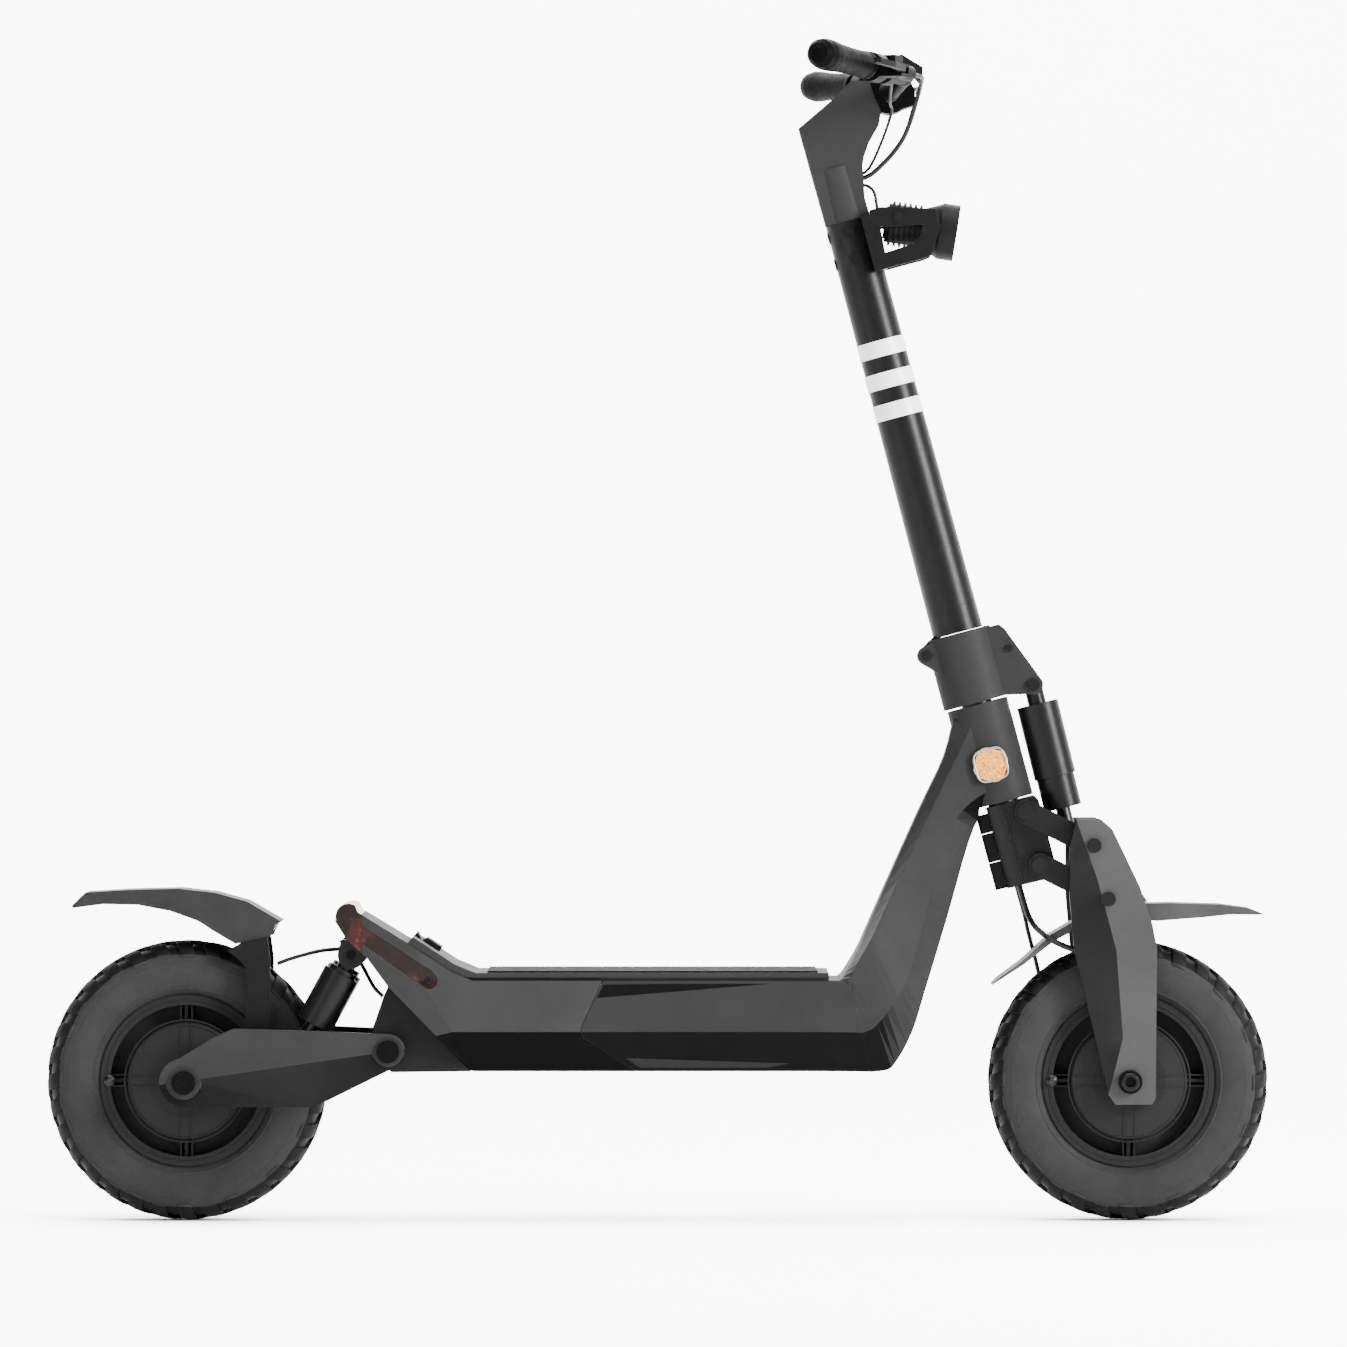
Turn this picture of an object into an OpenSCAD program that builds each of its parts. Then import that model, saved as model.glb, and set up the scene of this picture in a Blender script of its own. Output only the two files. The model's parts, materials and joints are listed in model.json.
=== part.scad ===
// Electric kick scooter: two hub-motor wheels, sprung front fork on parallel links,
// sprung rear swingarm, battery deck, folding stem and swept handlebar.
// Frame: +X forward, +Y left, +Z up, origin on the ground under the middle of the scooter.

/* [Wheels] */
// Distance between the two axles
wheelbase = 1034; // [940:1:1240]
// Outer radius of the tyres
tyre_r = 154; // [140:1:185]
// Width of the tyres
tyre_w = 78; // [65:1:82]
// Radius of the rim flange
rim_r = 94; // [88:1:100]
// Radius of the wheel axles
axle_r = 8; // [7:0.5:9.5]

/* [Deck] */
// Widest part of the deck
deck_w = 220; // [200:1:264]
// Height of the deck body
deck_h = 100; // [84:1:120]
// Wall of the deck and neck castings
wall = 5; // [4:0.5:7]
// Thickness of the deck cover board
cover_t = 8; // [7:1:12]
// Thickness of the rubber mat
mat_t = 2.5; // [2:0.5:4]

/* [Steering and stem] */
// Lean of the steering axis from vertical, in degrees
rake = 15; // [12:0.5:18]
// Outer radius of the head tube
head_r = 34; // [34:0.5:38]
// Outer radius of the steerer tube
steerer_r = 17; // [15:0.5:18]
// Outer radius of the fold collar
collar_r = 37; // [36:0.5:40]
// Length of the round stem tube
stem_len = 468; // [400:1:560]
// Radius at the foot of the stem tube
stem_r = 28; // [26:0.5:30]

/* [Handlebar] */
// Width over the grip ends
bar_w = 660; // [560:1:780]
// Radius of the handlebar tube
bar_r = 11.1; // [10:0.1:13]
// Length of each grip
grip_len = 132; // [115:1:150]

/* [Suspension] */
// Length of the front links between pivots
link_len = 82; // [76:1:90]
// Slope of the front links below the axis normal, in degrees
link_drop = 41.5; // [38:0.5:45]
// Radius of the front shock can
front_can_r = 23; // [20:0.5:25]
// Radius of each rear shock can
rear_can_r = 20; // [17:0.5:21]

/* [Hidden] */
$fn = 64;

// Clearances
run = 0.05;   // shaft in its bore
gap = 0.6;    // between pieces that pass or butt
pivot_play = 1.5; // open pivot of the closed linkage

// Main places
axle_z = tyre_r;
front_x = wheelbase / 2;
rear_x = -wheelbase / 2;
piv_x = rear_x + tyre_r + 69;
piv_z = axle_z + 34;
deck_bot = piv_z - 22;
deck_top = deck_bot + deck_h;
head_x = front_x - 152;
head_z = axle_z + tyre_r + 208.5;
seam_x = -83;

// Widths from the centre plane
deck_hw = deck_w / 2;
hub_hw = 48;                     // hub motor, over its covers
leg_in = 51;                     // inner face of the fork legs
leg_out = 80;                    // outer face of the fork legs
crown_hw = 37;
link_in = crown_hw + 0.5;
link_out = leg_in - 0.5;
arm_in = 84;                     // inner face of the swingarm side plates
arm_out = 96;
bracket_hw = arm_in - gap;
shock_y = 62;                    // centre plane of each rear shock
eye_hw = 12;                     // half width of every shock eye

// Colours
c_frame = [0.27, 0.27, 0.28];
c_black = [0.09, 0.09, 0.095];
c_steel = [0.55, 0.56, 0.58];
c_rubber = [0.06, 0.06, 0.065];
c_white = [0.92, 0.92, 0.92];
c_amber = [0.95, 0.55, 0.15];
c_red = [0.55, 0.08, 0.08];

// ---- helpers ----
function unit(v) = v / norm(v);
function polar(r, a) = [r * cos(a), r * sin(a)];
// Point of the steering frame (u forward of the axis, w up along it) in X and Z
function steer_pt(u, w) = [head_x + u * cos(rake) - w * sin(rake), head_z + u * sin(rake) + w * cos(rake)];
function arc(c, r, a0, a1, n) = [for (i = [0:n]) c + polar(r, a0 + (a1 - a0) * i / n)];
function mirror_y(p) = [p[0], -p[1], p[2]];

module on_steer() { translate([head_x, 0, head_z]) rotate([0, -rake, 0]) children(); }
module both_sides() { children(); mirror([0, 1, 0]) children(); }
// Outline in X and Z, drawn from y0 to y1
module plate(points, y0, y1) {
  translate([0, y1, 0]) rotate([90, 0, 0]) linear_extrude(y1 - y0) polygon(points);
}
module slab(y0, y1) { translate([0, y1, 0]) rotate([90, 0, 0]) linear_extrude(y1 - y0) children(); }
// Half outline seen from above, made whole by its mirror image
module plan_solid(half, z0, z1) {
  translate([0, 0, z0]) linear_extrude(z1 - z0)
    polygon(concat(half, [for (i = [len(half) - 1:-1:0]) [half[i][0], -half[i][1]]]));
}
// Round bar across the scooter at [x, z]
module cross_bar(p, r, y0, y1) { translate([p[0], y0, p[1]]) rotate([-90, 0, 0]) cylinder(r = r, h = y1 - y0); }
module cross_ring(p, ro, ri, y0, y1) {
  difference() {
    cross_bar(p, ro, y0, y1);
    cross_bar(p, ri, y0 - 1, y1 + 1);
  }
}
// Link plate: two round eyes joined by straight tangents
module link_outline(a, b, ra, rb) {
  hull() {
    translate(a) circle(r = ra, $fn = 48);
    translate(b) circle(r = rb, $fn = 48);
  }
}

// Tube swept along points: smooth curve through them, rings of n sides
function spline(p, i, t) =
  let (a = p[max(i - 1, 0)], b = p[i], c = p[i + 1], d = p[min(i + 2, len(p) - 1)])
  0.5 * ((2 * b) + (c - a) * t + (2 * a - 5 * b + 4 * c - d) * t * t + (3 * b - a - 3 * c + d) * t * t * t);
function smooth(p, k) = [for (i = [0:len(p) - 2], j = [0:k - 1]) spline(p, i, j / k), p[len(p) - 1]];
function side_axis(t) = unit(abs(t[1]) > 0.9 ? cross(t, [0, 0, 1]) : cross(t, [0, 1, 0]));
module tube(points, r, k = 3, n = 8) {
  q = smooth(points, k);
  m = len(q);
  rings = [for (i = [0:m - 1])
    let (t = unit(q[min(i + 1, m - 1)] - q[max(i - 1, 0)]), s = side_axis(t), v = cross(t, s))
    [for (j = [0:n - 1]) q[i] + r * (s * cos(360 * j / n) + v * sin(360 * j / n))]];
  polyhedron(
    points = [for (ring = rings, p = ring) p],
    faces = concat(
      [[for (j = [0:n - 1]) j]],
      [for (i = [0:m - 2], j = [0:n - 1]) [i * n + j, (i + 1) * n + j, i * n + (j + 1) % n]],
      [for (i = [0:m - 2], j = [0:n - 1]) [(i + 1) * n + j, (i + 1) * n + (j + 1) % n, i * n + (j + 1) % n]],
      [[for (j = [n - 1:-1:0]) (m - 1) * n + j]]));
}

// ---- deck and neck ----
bevel_z = deck_bot + deck_h * 0.44;
top_hw = deck_hw - 6;
bot_hw = deck_hw - 30;
// Section of the rear shell in Y and Z, inset by t
function deck_section(t, ztop) = [
  [-(bot_hw - t), deck_bot + t], [-(deck_hw - t), bevel_z], [-(top_hw - t), deck_top - t],
  [-(top_hw - t), ztop], [top_hw - t, ztop], [top_hw - t, deck_top - t],
  [deck_hw - t, bevel_z], [bot_hw - t, deck_bot + t]];
module along_x(x0, x1, section) { translate([x0, 0, 0]) rotate([90, 0, 90]) linear_extrude(x1 - x0) polygon(section); }

function seam(dx) = [
  [seam_x + 24 + dx, deck_top + 1], [seam_x + dx, deck_top - 52],
  [seam_x + 2 + dx, deck_top - 62], [seam_x + 62 + dx, deck_bot - 1]];
// The front casting is a run of sections from the deck round and up the neck. Each holds its
// front or bottom edge, lower ridge, upper ridge and rear or top edge in X and Z, then the
// half widths at those four.
neck_x = head_x - 122;           // where the bottom of the deck turns up
function deck_ring(x) = [[x, deck_bot], [x, bevel_z], [x, deck_top - 4], [x, deck_top], [bot_hw, deck_hw, top_hw, top_hw - 4]];
neck_rings = [
  deck_ring(seam_x - 30),
  deck_ring(neck_x - 60),
  [[neck_x, deck_bot], [neck_x - 17, bevel_z], [neck_x - 36, deck_top - 2], [neck_x - 44, deck_top], [79, 110, 103, 96] * deck_hw / 110],
  [[neck_x + 17, deck_bot + 9], [neck_x + 2, bevel_z + 14], [neck_x - 24, deck_top + 20], [neck_x - 34, deck_top + 14], [74, 106, 96, 72] * deck_hw / 110],
  [[neck_x + 36, deck_bot + 43], [neck_x + 19, bevel_z + 38], [neck_x - 9, deck_top + 46], [neck_x - 22, deck_top + 36], [62, 96, 86, 56] * deck_hw / 110],
  [[neck_x + 50, deck_top - 14], [neck_x + 34, deck_top + 10], [neck_x + 4, deck_top + 73], [neck_x - 10, deck_top + 64], [46, 80, 73, 44] * deck_hw / 110],
  [[head_x - 46, head_z - 180], [head_x - 68, head_z - 164], [head_x - 90, head_z - 118], [head_x - 105, head_z - 125], [30, 54, 51, 34]],
  [[head_x - 23, head_z - 100], [head_x - 45, head_z - 90], [head_x - 57, head_z - 49], [head_x - 75.5, head_z - 60], [22, 39, 38, 27]],
  [[head_x - 8, head_z - 70], [head_x - 22, head_z - 58], [head_x - 36, head_z - 6], [head_x - 51, head_z - 8], [20, 33, 34, 24]],
  [[head_x + 18, head_z - 54], [head_x + 8, head_z - 40], [head_x - 20, head_z + 28], [head_x - 40, head_z + 34], [14, 28, 31, 20]]];
// Outline of the neck's hollow: t inside its front and rear edges, reaching up past the deck
function neck_hollow(t, up) = [
  [neck_x - 30, deck_bot + t + 2], [neck_x + 2, deck_bot + t + 4], [neck_x + 36 - t, deck_bot + 45],
  [neck_x + 50 - t, deck_top - 10], [neck_x + 50 + 0.3 * up - t, deck_top - 10 + up],
  [neck_x - 12 + 0.3 * up + t, deck_top - 10 + up], [neck_x - 30 + t, deck_top - 4]];
function ring_points(g) = concat(
  [for (i = [0:3]) [g[i][0], -g[4][i], g[i][1]]],
  [for (i = [3:-1:0]) [g[i][0], g[4][i], g[i][1]]]);
module loft(rings, k) {
  n = len(rings[0]);
  flat = [for (j = [0:n - 1]) smooth([for (g = rings) g[j]], k)];
  m = len(flat[0]);
  polyhedron(
    points = [for (i = [0:m - 1], j = [0:n - 1]) flat[j][i]],
    faces = concat(
      [for (j = [1:n - 2]) [0, j + 1, j]],
      [for (i = [0:m - 2], j = [0:n - 1]) [i * n + j, i * n + (j + 1) % n, (i + 1) * n + j]],
      [for (i = [0:m - 2], j = [0:n - 1]) [(i + 1) * n + j, i * n + (j + 1) % n, (i + 1) * n + (j + 1) % n]],
      [for (j = [1:n - 2]) [(m - 1) * n, (m - 1) * n + j, (m - 1) * n + j + 1]]));
}
head_bot = -58.5;
head_top = 52;
bearing_h = 11;
bearing_r = 28;
reflector = [head_x + 0.5, head_z - 16];
reflector_y = head_r + 2.4;
reflector_seat = head_r + 0.2;
bay_hw = top_hw - 18;            // opening under the cover board
bay_end = neck_x - 58;
module round_square(s, r) {
  square([s, s - 2 * r], center = true);
  square([s - 2 * r, s], center = true);
  for (x = [-1, 1], y = [-1, 1]) translate([x, y] * (s / 2 - r)) circle(r = r);
}
module on_reflector(y0, y1) { slab(y0, y1) translate(reflector) rotate(-rake) children(); }
module front_frame() {
  color(c_frame) difference() {
    union() {
      difference() {
        loft([for (g = neck_rings) ring_points(g)], 3);
        // battery bay, and the hollow of the neck in three steps
        along_x(seam_x - 60, neck_x - 22, deck_section(wall, deck_top - wall));
        plate(neck_hollow(wall + 2, 0), -40, 40);
        plate(neck_hollow(wall + 2, 60), -24, 24);
        plate(neck_hollow(wall + 2, 150), -14, 14);
      }
      on_steer() translate([0, 0, head_bot]) cylinder(r = head_r, h = head_top - head_bot);
      both_sides() on_reflector(22, reflector_seat) round_square(37, 13);
    }
    on_steer() {
      translate([0, 0, head_bot - 40]) cylinder(r = steerer_r + 6, h = 200);
      translate([0, 0, head_top - bearing_h]) cylinder(r = bearing_r, h = 60);
      translate([0, 0, head_bot - 60]) cylinder(r = bearing_r, h = 60 + bearing_h);
      // the rotating collar above and crown below stay clear
      translate([0, 0, head_top]) cylinder(r = collar_r + 14, h = 60);
      translate([0, 0, head_bot - 100]) cylinder(r = 37, h = 100);
    }
    // behind the seam with the rear shell
    plate(concat([[seam_x - 90, deck_top + 1]], seam(0), [[seam_x - 90, deck_bot - 1]]), -deck_hw - 1, deck_hw + 1);
    translate([seam_x - 60, -bay_hw, deck_top - 20]) cube([bay_end - seam_x + 60, 2 * bay_hw, 40]);
  }
}
function rp(dx, dz) = [piv_x + dx, piv_z + dz];
tail_tip = rp(-43.5, 147);
tail_r = 14.5;
function tail_top() = [rp(-33, 152), rp(21, 119), rp(61, deck_h - 6.5), rp(86, deck_h - 17.5), [piv_x + 96, deck_top]];
function tail_under() = [
  [piv_x + 92, deck_bot], rp(52, 18), rp(0, 71), rp(-23, 102), rp(-45, 121), rp(-59, 143)];
function tail_plan() = [
  [piv_x - 64, deck_hw - 34], [piv_x - 20, deck_hw - 16], [piv_x + 70, deck_hw], [seam_x + 70, deck_hw]];
lamp_x = piv_x - 29;             // the lamp caps the tail behind this
lamp_t = 4;
// Side arm of the lamp, along the flank of the tail
function lamp_arm(t) = concat([rp(-29, 137 + t), rp(48, 88 + t)], arc(rp(45, 78), 9 + t, 60, -110, 6), [rp(-29, 119 - t)]);
module tail_solid() {
  intersection() {
    plate(concat(tail_under(), arc(tail_tip, tail_r, 200, 60, 6), tail_top(),
                 [for (i = [0:3]) seam(-gap)[i]]), -deck_hw - 1, deck_hw + 1);
    plan_solid(tail_plan(), deck_bot - 1, deck_top + 120);
    along_x(piv_x - 80, seam_x + 80, deck_section(0, deck_top + 120));
  }
}
// Room for the lamp: the end of the tail, round the metal core that carries the shocks
module lamp_space() {
  difference() {
    translate([piv_x - 200, -deck_hw, 0]) cube([lamp_x - piv_x + 200, deck_w, 1000]);
    plate(concat([rp(-20, 80), rp(-20, 145)], arc(tail_tip, tail_r - 6, 75, 205, 6), [rp(-40, 116.5), rp(-38, 90)]),
          -deck_hw + 31, deck_hw - 31);
  }
}
module lamp_pocket(c) {
  both_sides() intersection() {
    plate(lamp_arm(c), 0, deck_hw);
    difference() {
      plan_solid(tail_plan(), 0, 1000);
      plan_solid([for (p = tail_plan()) [p[0], p[1] - lamp_t - 6 - c]], -1, 1001);
    }
  }
}
module rear_shell() {
  color(c_frame) difference() {
    tail_solid();
    intersection() {
      plate([[piv_x + 104, deck_bot], [seam_x + 90, deck_bot], [seam_x + 90, deck_top], [piv_x + 84, deck_top],
             [piv_x + 50, deck_bot + 62]], -deck_hw, deck_hw);
      along_x(piv_x, seam_x + 90, deck_section(wall, deck_top - wall));
    }
    lamp_space();
    lamp_pocket(0.3);
    translate([piv_x + 130, -bay_hw, deck_top - 20]) cube([seam_x - piv_x, 2 * bay_hw, 40]);
    // under the cover board
    plate(cover_outline(0.3), -deck_hw, deck_hw);
    // round the top eyes of the shocks
    both_sides() cross_bar(shock_top, 12.5, shock_y - eye_hw - 0.4, shock_y + eye_hw + 0.4);
  }
}
module tail_lamp() {
  color(c_red) {
    intersection() {
      tail_solid();
      lamp_space();
      translate([piv_x - 300, -deck_hw, 0]) cube([lamp_x - gap / 2 - piv_x + 300, deck_w, 1000]);
    }
    intersection() {
      lamp_pocket(0);
      along_x(lamp_x, seam_x, deck_section(0.4, deck_top + 120));
    }
  }
}
// Cover board: flat over the deck, then up the kick tail; its lower edge is set back
cover_lip = 3;
function cover_outline(t) = [
  [head_x - 178, deck_top - t], rp(92, deck_h - 22 - t), rp(68, deck_h - 11.5 - t), rp(22, deck_h + 18.5 - t),
  rp(27, deck_h + 25.5), rp(73, deck_h - 4.5), rp(96, deck_h - 22 + cover_t), [head_x - 178, deck_top + cover_t]];
module deck_cover() {
  color(c_frame) difference() {
    plate(cover_outline(0), -top_hw + 2, top_hw - 2);
    both_sides() translate([piv_x - 50, top_hw - 6, deck_top - 1]) cube([head_x - piv_x, 20, cover_lip + 1]);
    translate([mat_x, -top_hw + 12, deck_top + cover_t - mat_t]) cube([mat_len, 2 * top_hw - 24, mat_t + 5]);
  }
}
mat_x = piv_x + 108;
mat_len = head_x - 190 - mat_x;
module deck_mat() {
  color(c_rubber) translate([mat_x + 0.3, -top_hw + 12.3, deck_top + cover_t - mat_t])
    cube([mat_len - 0.6, 2 * top_hw - 24.6, 1.8 * mat_t]);
}
// Low hook on the kick tail that holds the folded stem
module stem_catch() {
  a = rp(27, deck_h + 25.5);
  color(c_black) translate([a[0], 0, a[1]]) rotate([0, 33, 0]) translate([1, 0, 0]) difference() {
    translate([0, -26, 0]) cube([32, 52, 5.5]);
    translate([9, -12, 2]) cube([14, 24, 10]);
    translate([-1, -30, 6]) rotate([0, 30, 0]) cube([12, 60, 9]);
  }
}

// ---- rear pivot and shocks ----
shock_top = rp(-40.5, 104.8);
bolt_r = 6;
module pivot_bracket() {
  color(c_black) difference() {
    union() {
      plate([rp(-5, 60), rp(-13, 37), rp(-21, 14), rp(-18, -8), rp(4, -23), [piv_x + 90, deck_bot],
             rp(51.4, 17.2), rp(-0.6, 70.2)], -bracket_hw, bracket_hw);
      // kickstand lug
      plate([[kick_x - 14, kick_z - 9], [kick_x + 9, kick_z - 9], [kick_x + 9, kick_z - 1.5],
             [kick_x - 1.5, kick_z + 9], [kick_x - 14, kick_z + 9]], bracket_hw - 1, kick_y - kick_w / 2 - 0.4);
    }
    cross_bar([piv_x, piv_z], 10 + run, -200, 200);
    // the swingarm bridge swings in here
    plate([rp(-40, -30), rp(-11, -30), rp(-15, 8), rp(-18, 26), rp(-40, 30)], -60, 60);
    cross_bar([kick_x, kick_z], 4 + run, 60, 200);
    // lightening pocket under the tail
    plate([rp(28, -14), rp(66, -14), rp(40, 14), rp(18, 24)], -70, 70);
  }
}
module shock_yoke() {
  color(c_frame) both_sides() difference() {
    union() {
      for (y = [shock_y - eye_hw - 5, shock_y + eye_hw + 0.4])
        plate(concat(arc(shock_top, 15, 170, 330, 10), [rp(-26, 106), rp(-44.6, 120.2), rp(-52, 120)]), y, y + 4.6);
      plate([rp(-26, 105.4), rp(-44.6, 120.4), rp(-50, 122), rp(-54, 120), rp(-30, 101)],
            shock_y - eye_hw - 5, shock_y + eye_hw + 5);
    }
    cross_bar(shock_top, 5, 20, 100);
    cross_bar(shock_top, 17.5, shock_y - eye_hw - 0.4, shock_y + eye_hw + 0.4);
    intersection() { translate([-1000, 0, 0]) cube([1000, 200, 1000]); tail_solid(); }
  }
}
module swingarm_axle() {
  color(c_steel) {
    cross_bar([piv_x, piv_z], 10, -arm_out - 1, arm_out + 1);
    both_sides() {
      cross_bar([piv_x, piv_z], 12.5, arm_out + 1, arm_out + 4);
      cross_bar(shock_top, 5, shock_y - eye_hw - 8, shock_y + eye_hw + 8);
    }
  }
}
arm_end = 27;
shock_low = [rear_x + tyre_r - 27, axle_z + 37];
// Side plate of the swingarm
function arm_side() = concat(
  arc([rear_x, axle_z], arm_end, 270, 100, 12),
  [[rear_x + 32, axle_z + 49], [rear_x + 54, axle_z + 59], [piv_x - 65, piv_z + 22]],
  arc([piv_x, piv_z], 19, 92, -62, 12),
  [[piv_x - 66, piv_z - 54], [piv_x - 87, axle_z - 27]]);
stay_x = rear_x + 78;            // fender stay, middle of its foot
module swingarm() {
  color(c_frame) difference() {
    union() {
      both_sides() {
        plate(arm_side(), arm_in, arm_out);
        cross_bar([rear_x, axle_z], 15, hub_hw + 3, arm_in + 0.1);
        // ledge under the fender stay
        plate([[stay_x - 18, axle_z + 34], [stay_x + 17, axle_z + 34], [stay_x + 17, axle_z + 44],
               [stay_x - 18, axle_z + 44]], 50, arm_in + 0.1);
        cross_bar(shock_low, 8, shock_y + eye_hw + 0.5, arm_in + 0.1);
        cross_bar(shock_low, 5, shock_y - eye_hw - 3, arm_in);
      }
      // bridge between the plates, ahead of the tyre
      plate([[piv_x - 56, piv_z - 22], [piv_x - 30, piv_z - 22], [piv_x - 22, piv_z - 6],
             [piv_x - 24, piv_z + 8], [piv_x - 56, piv_z + 8]], -arm_in - 0.1, arm_in + 0.1);
    }
    cross_bar([piv_x, piv_z], 10 + run, -200, 200);
    cross_bar([rear_x, axle_z], axle_r, -200, 200);
  }
}
rear_axis = unit([shock_low[0] - shock_top[0], shock_low[1] - shock_top[1]]);
rear_len = norm(shock_low - shock_top);
rear_tilt = atan2(-rear_axis[0], -rear_axis[1]);
// Frame of the rear shock: z runs from the top eye down to the lower eye
module on_rear_shock(side) {
  translate([shock_top[0], side * shock_y, shock_top[1]]) rotate([0, 180 + rear_tilt, 0]) children();
}
module eye(r, bore) {
  difference() {
    translate([0, eye_hw, 0]) rotate([90, 0, 0]) cylinder(r = r, h = 2 * eye_hw);
    translate([0, eye_hw + 1, 0]) rotate([90, 0, 0]) cylinder(r = bore, h = 2 * eye_hw + 2);
  }
}
rear_rod_r = 7;
module rear_shock_cans() {
  color(c_black) for (s = [-1, 1]) on_rear_shock(s) difference() {
    union() {
      difference() {
        union() {
          translate([0, 0, 6]) cylinder(r = 9, h = 14);
          eye(11, 5 + run);
        }
        translate([0, 30, 0]) rotate([90, 0, 0]) cylinder(r = 5 + run, h = 60);
      }
      translate([0, 0, 18]) cylinder(r = rear_can_r - 4, h = 6);
      translate([0, 0, 23.5]) cylinder(r = rear_can_r, h = rear_len - 53);
    }
    translate([0, 0, 32]) cylinder(r = rear_can_r - 3.5, h = rear_len);
  }
}
module rear_shock_rods() {
  color(c_steel) for (s = [-1, 1]) on_rear_shock(s) difference() {
    union() {
      translate([0, 0, 56]) cylinder(r = rear_can_r - 3.5 - run, h = 8);
      translate([0, 0, 56]) cylinder(r = rear_rod_r, h = rear_len - 64);
      translate([0, 0, rear_len]) eye(10, 5 + pivot_play);
    }
    translate([0, 30, rear_len]) rotate([90, 0, 0]) cylinder(r = 5 + pivot_play, h = 60);
  }
}

// ---- inside the deck ----
battery_x = seam_x - 14;
module battery_pack() {
  color([0.15, 0.3, 0.5]) translate([battery_x, -(bot_hw - 10), deck_bot + wall + 0.3])
    cube([bay_end - battery_x, 2 * (bot_hw - 10), deck_h - 2 * wall - 4]);
}
module motor_controller() {
  color(c_steel) translate([battery_x - 74, -52, deck_bot + wall + 0.5]) cube([70, 104, 46]);
}
module side_reflectors() {
  both_sides() {
    color(c_steel) on_reflector(reflector_seat, reflector_y + 1) difference() {
      round_square(35, 12);
      round_square(30, 9.5);
    }
    color(c_amber) on_reflector(reflector_seat, reflector_y + 0.4) round_square(30, 9.5);
  }
}
module headset_bearings() {
  color(c_steel) on_steer() for (w = [head_bot, head_top - bearing_h]) translate([0, 0, w]) difference() {
    cylinder(r = bearing_r, h = bearing_h);
    translate([0, 0, -1]) cylinder(r = steerer_r + run, h = bearing_h + 2);
  }
}

// ---- steering head ----
collar_bot = head_top + 2;
collar_top = 133;
crown_top = head_bot - 2;
crown_bot = -152;
steerer_bot = crown_bot + 45;
fold_pt = [-40, 118];
latch_pt = [49, 103];
pin_top = [64.5, 57];            // upper eye of the front shock
pivot_u = 20;
upper_w = -75;
lower_w = -135.5;
link_vec = polar(link_len, -link_drop);
pin_low = [pivot_u, upper_w] + 0.67 * link_vec;
plate_y = eye_hw + 1;            // the collar's ears start here
plate_t = 8;
module fold_collar() {
  color(c_frame) on_steer() difference() {
    union() {
      translate([0, 0, collar_bot]) cylinder(r = collar_r, h = collar_top - collar_bot);
      both_sides() plate(concat([[0, collar_bot], [33, collar_bot]], arc(pin_top, 11, 235, 390, 10),
                                [[50, 125], [45, 131], [0, 131]]), plate_y, plate_y + plate_t);
      // rear hinge cheeks
      both_sides() slab(12.4, 24) hull() {
        translate(fold_pt) circle(r = 10, $fn = 48);
        translate([-20, 100]) circle(r = 12, $fn = 48);
        translate([-22, 122]) circle(r = 9, $fn = 48);
      }
    }
    translate([0, 0, collar_bot - 1]) cylinder(r = steerer_r, h = 66);
    translate([0, 0, collar_bot - 1]) cylinder(r = steerer_r - 5, h = 200);
    cross_bar(pin_top, 5, -100, 100);
    cross_bar(latch_pt, 4, -100, 100);
    cross_bar(fold_pt, 4, -100, 100);
    // slot for the stem's tongue, and notch for its catch
    translate([-60, -12.4, 104]) cube([43, 24.8, 60]);
    translate([26.8, -plate_y + 1, 109]) cube([41.7, 2 * plate_y - 2, 60]);
  }
}
module steerer_tube() {
  color(c_steel) on_steer() translate([0, 0, steerer_bot]) difference() {
    cylinder(r = steerer_r, h = collar_bot + 60 - steerer_bot);
    translate([0, 0, -1]) cylinder(r = steerer_r - 4, h = 400);
  }
}
module fork_crown() {
  color(c_black) on_steer() difference() {
    union() {
      difference() {
        translate([0, 0, crown_bot]) cylinder(r = 30, h = crown_top - crown_bot);
        translate([-100, -50, crown_bot - 1]) cube([80, 100, 200]);
      }
      plate(concat([[-4, crown_top], [34, crown_top], [37, crown_top - 6], [37, lower_w + 4]],
                   arc([pivot_u, lower_w], 17, 0, -90, 6), [[-4, crown_bot]]), -crown_hw, crown_hw);
    }
    translate([0, 0, steerer_bot]) cylinder(r = steerer_r, h = 200);
    // cable slot: the cables move up in it as the fork travels
    translate([-15, -9.5, crown_bot - 1]) cube([31, 19, steerer_bot - crown_bot + 1]);
    for (w = [upper_w, lower_w]) cross_bar([pivot_u, w], bolt_r, -100, 100);
    // the steering lock stays clear of the neck
    difference() {
      translate([-60, -60, crown_bot - 20]) cube([60, 120, 200]);
      translate([0, 0, crown_bot - 21]) cylinder(r = 33, h = 300);
    }
  }
}
module crown_cover() {
  color(c_black) on_steer() for (s = [[-151, -121], [-120, -88.5], [-87.5, -67]])
    difference() {
      translate([-33, -10, s[0]]) cube([13 - 0.3, 20, s[1] - s[0]]);
      for (y = [-10, 10]) translate([-33, y, s[0] - 1]) rotate([0, 0, 45]) cube([4, 4, 90], center = true);
    }
}
module crown_bolts() {
  color(c_steel) on_steer() {
    for (w = [upper_w, lower_w]) both_sides() {
      cross_bar([pivot_u, w], bolt_r, steerer_r, link_out + 0.1);
      cross_bar([pivot_u, w], 9, link_out + 0.1, link_out + 4);
    }
    for (p = [[pin_top, 5], [latch_pt, 4], [fold_pt, 4]]) cross_bar(p[0], p[1], -24, 24);
    both_sides() {
      cross_bar(pin_top, 7, plate_y + plate_t, 25);
      cross_bar(fold_pt, 6, 24, 26);
    }
  }
}
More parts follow.
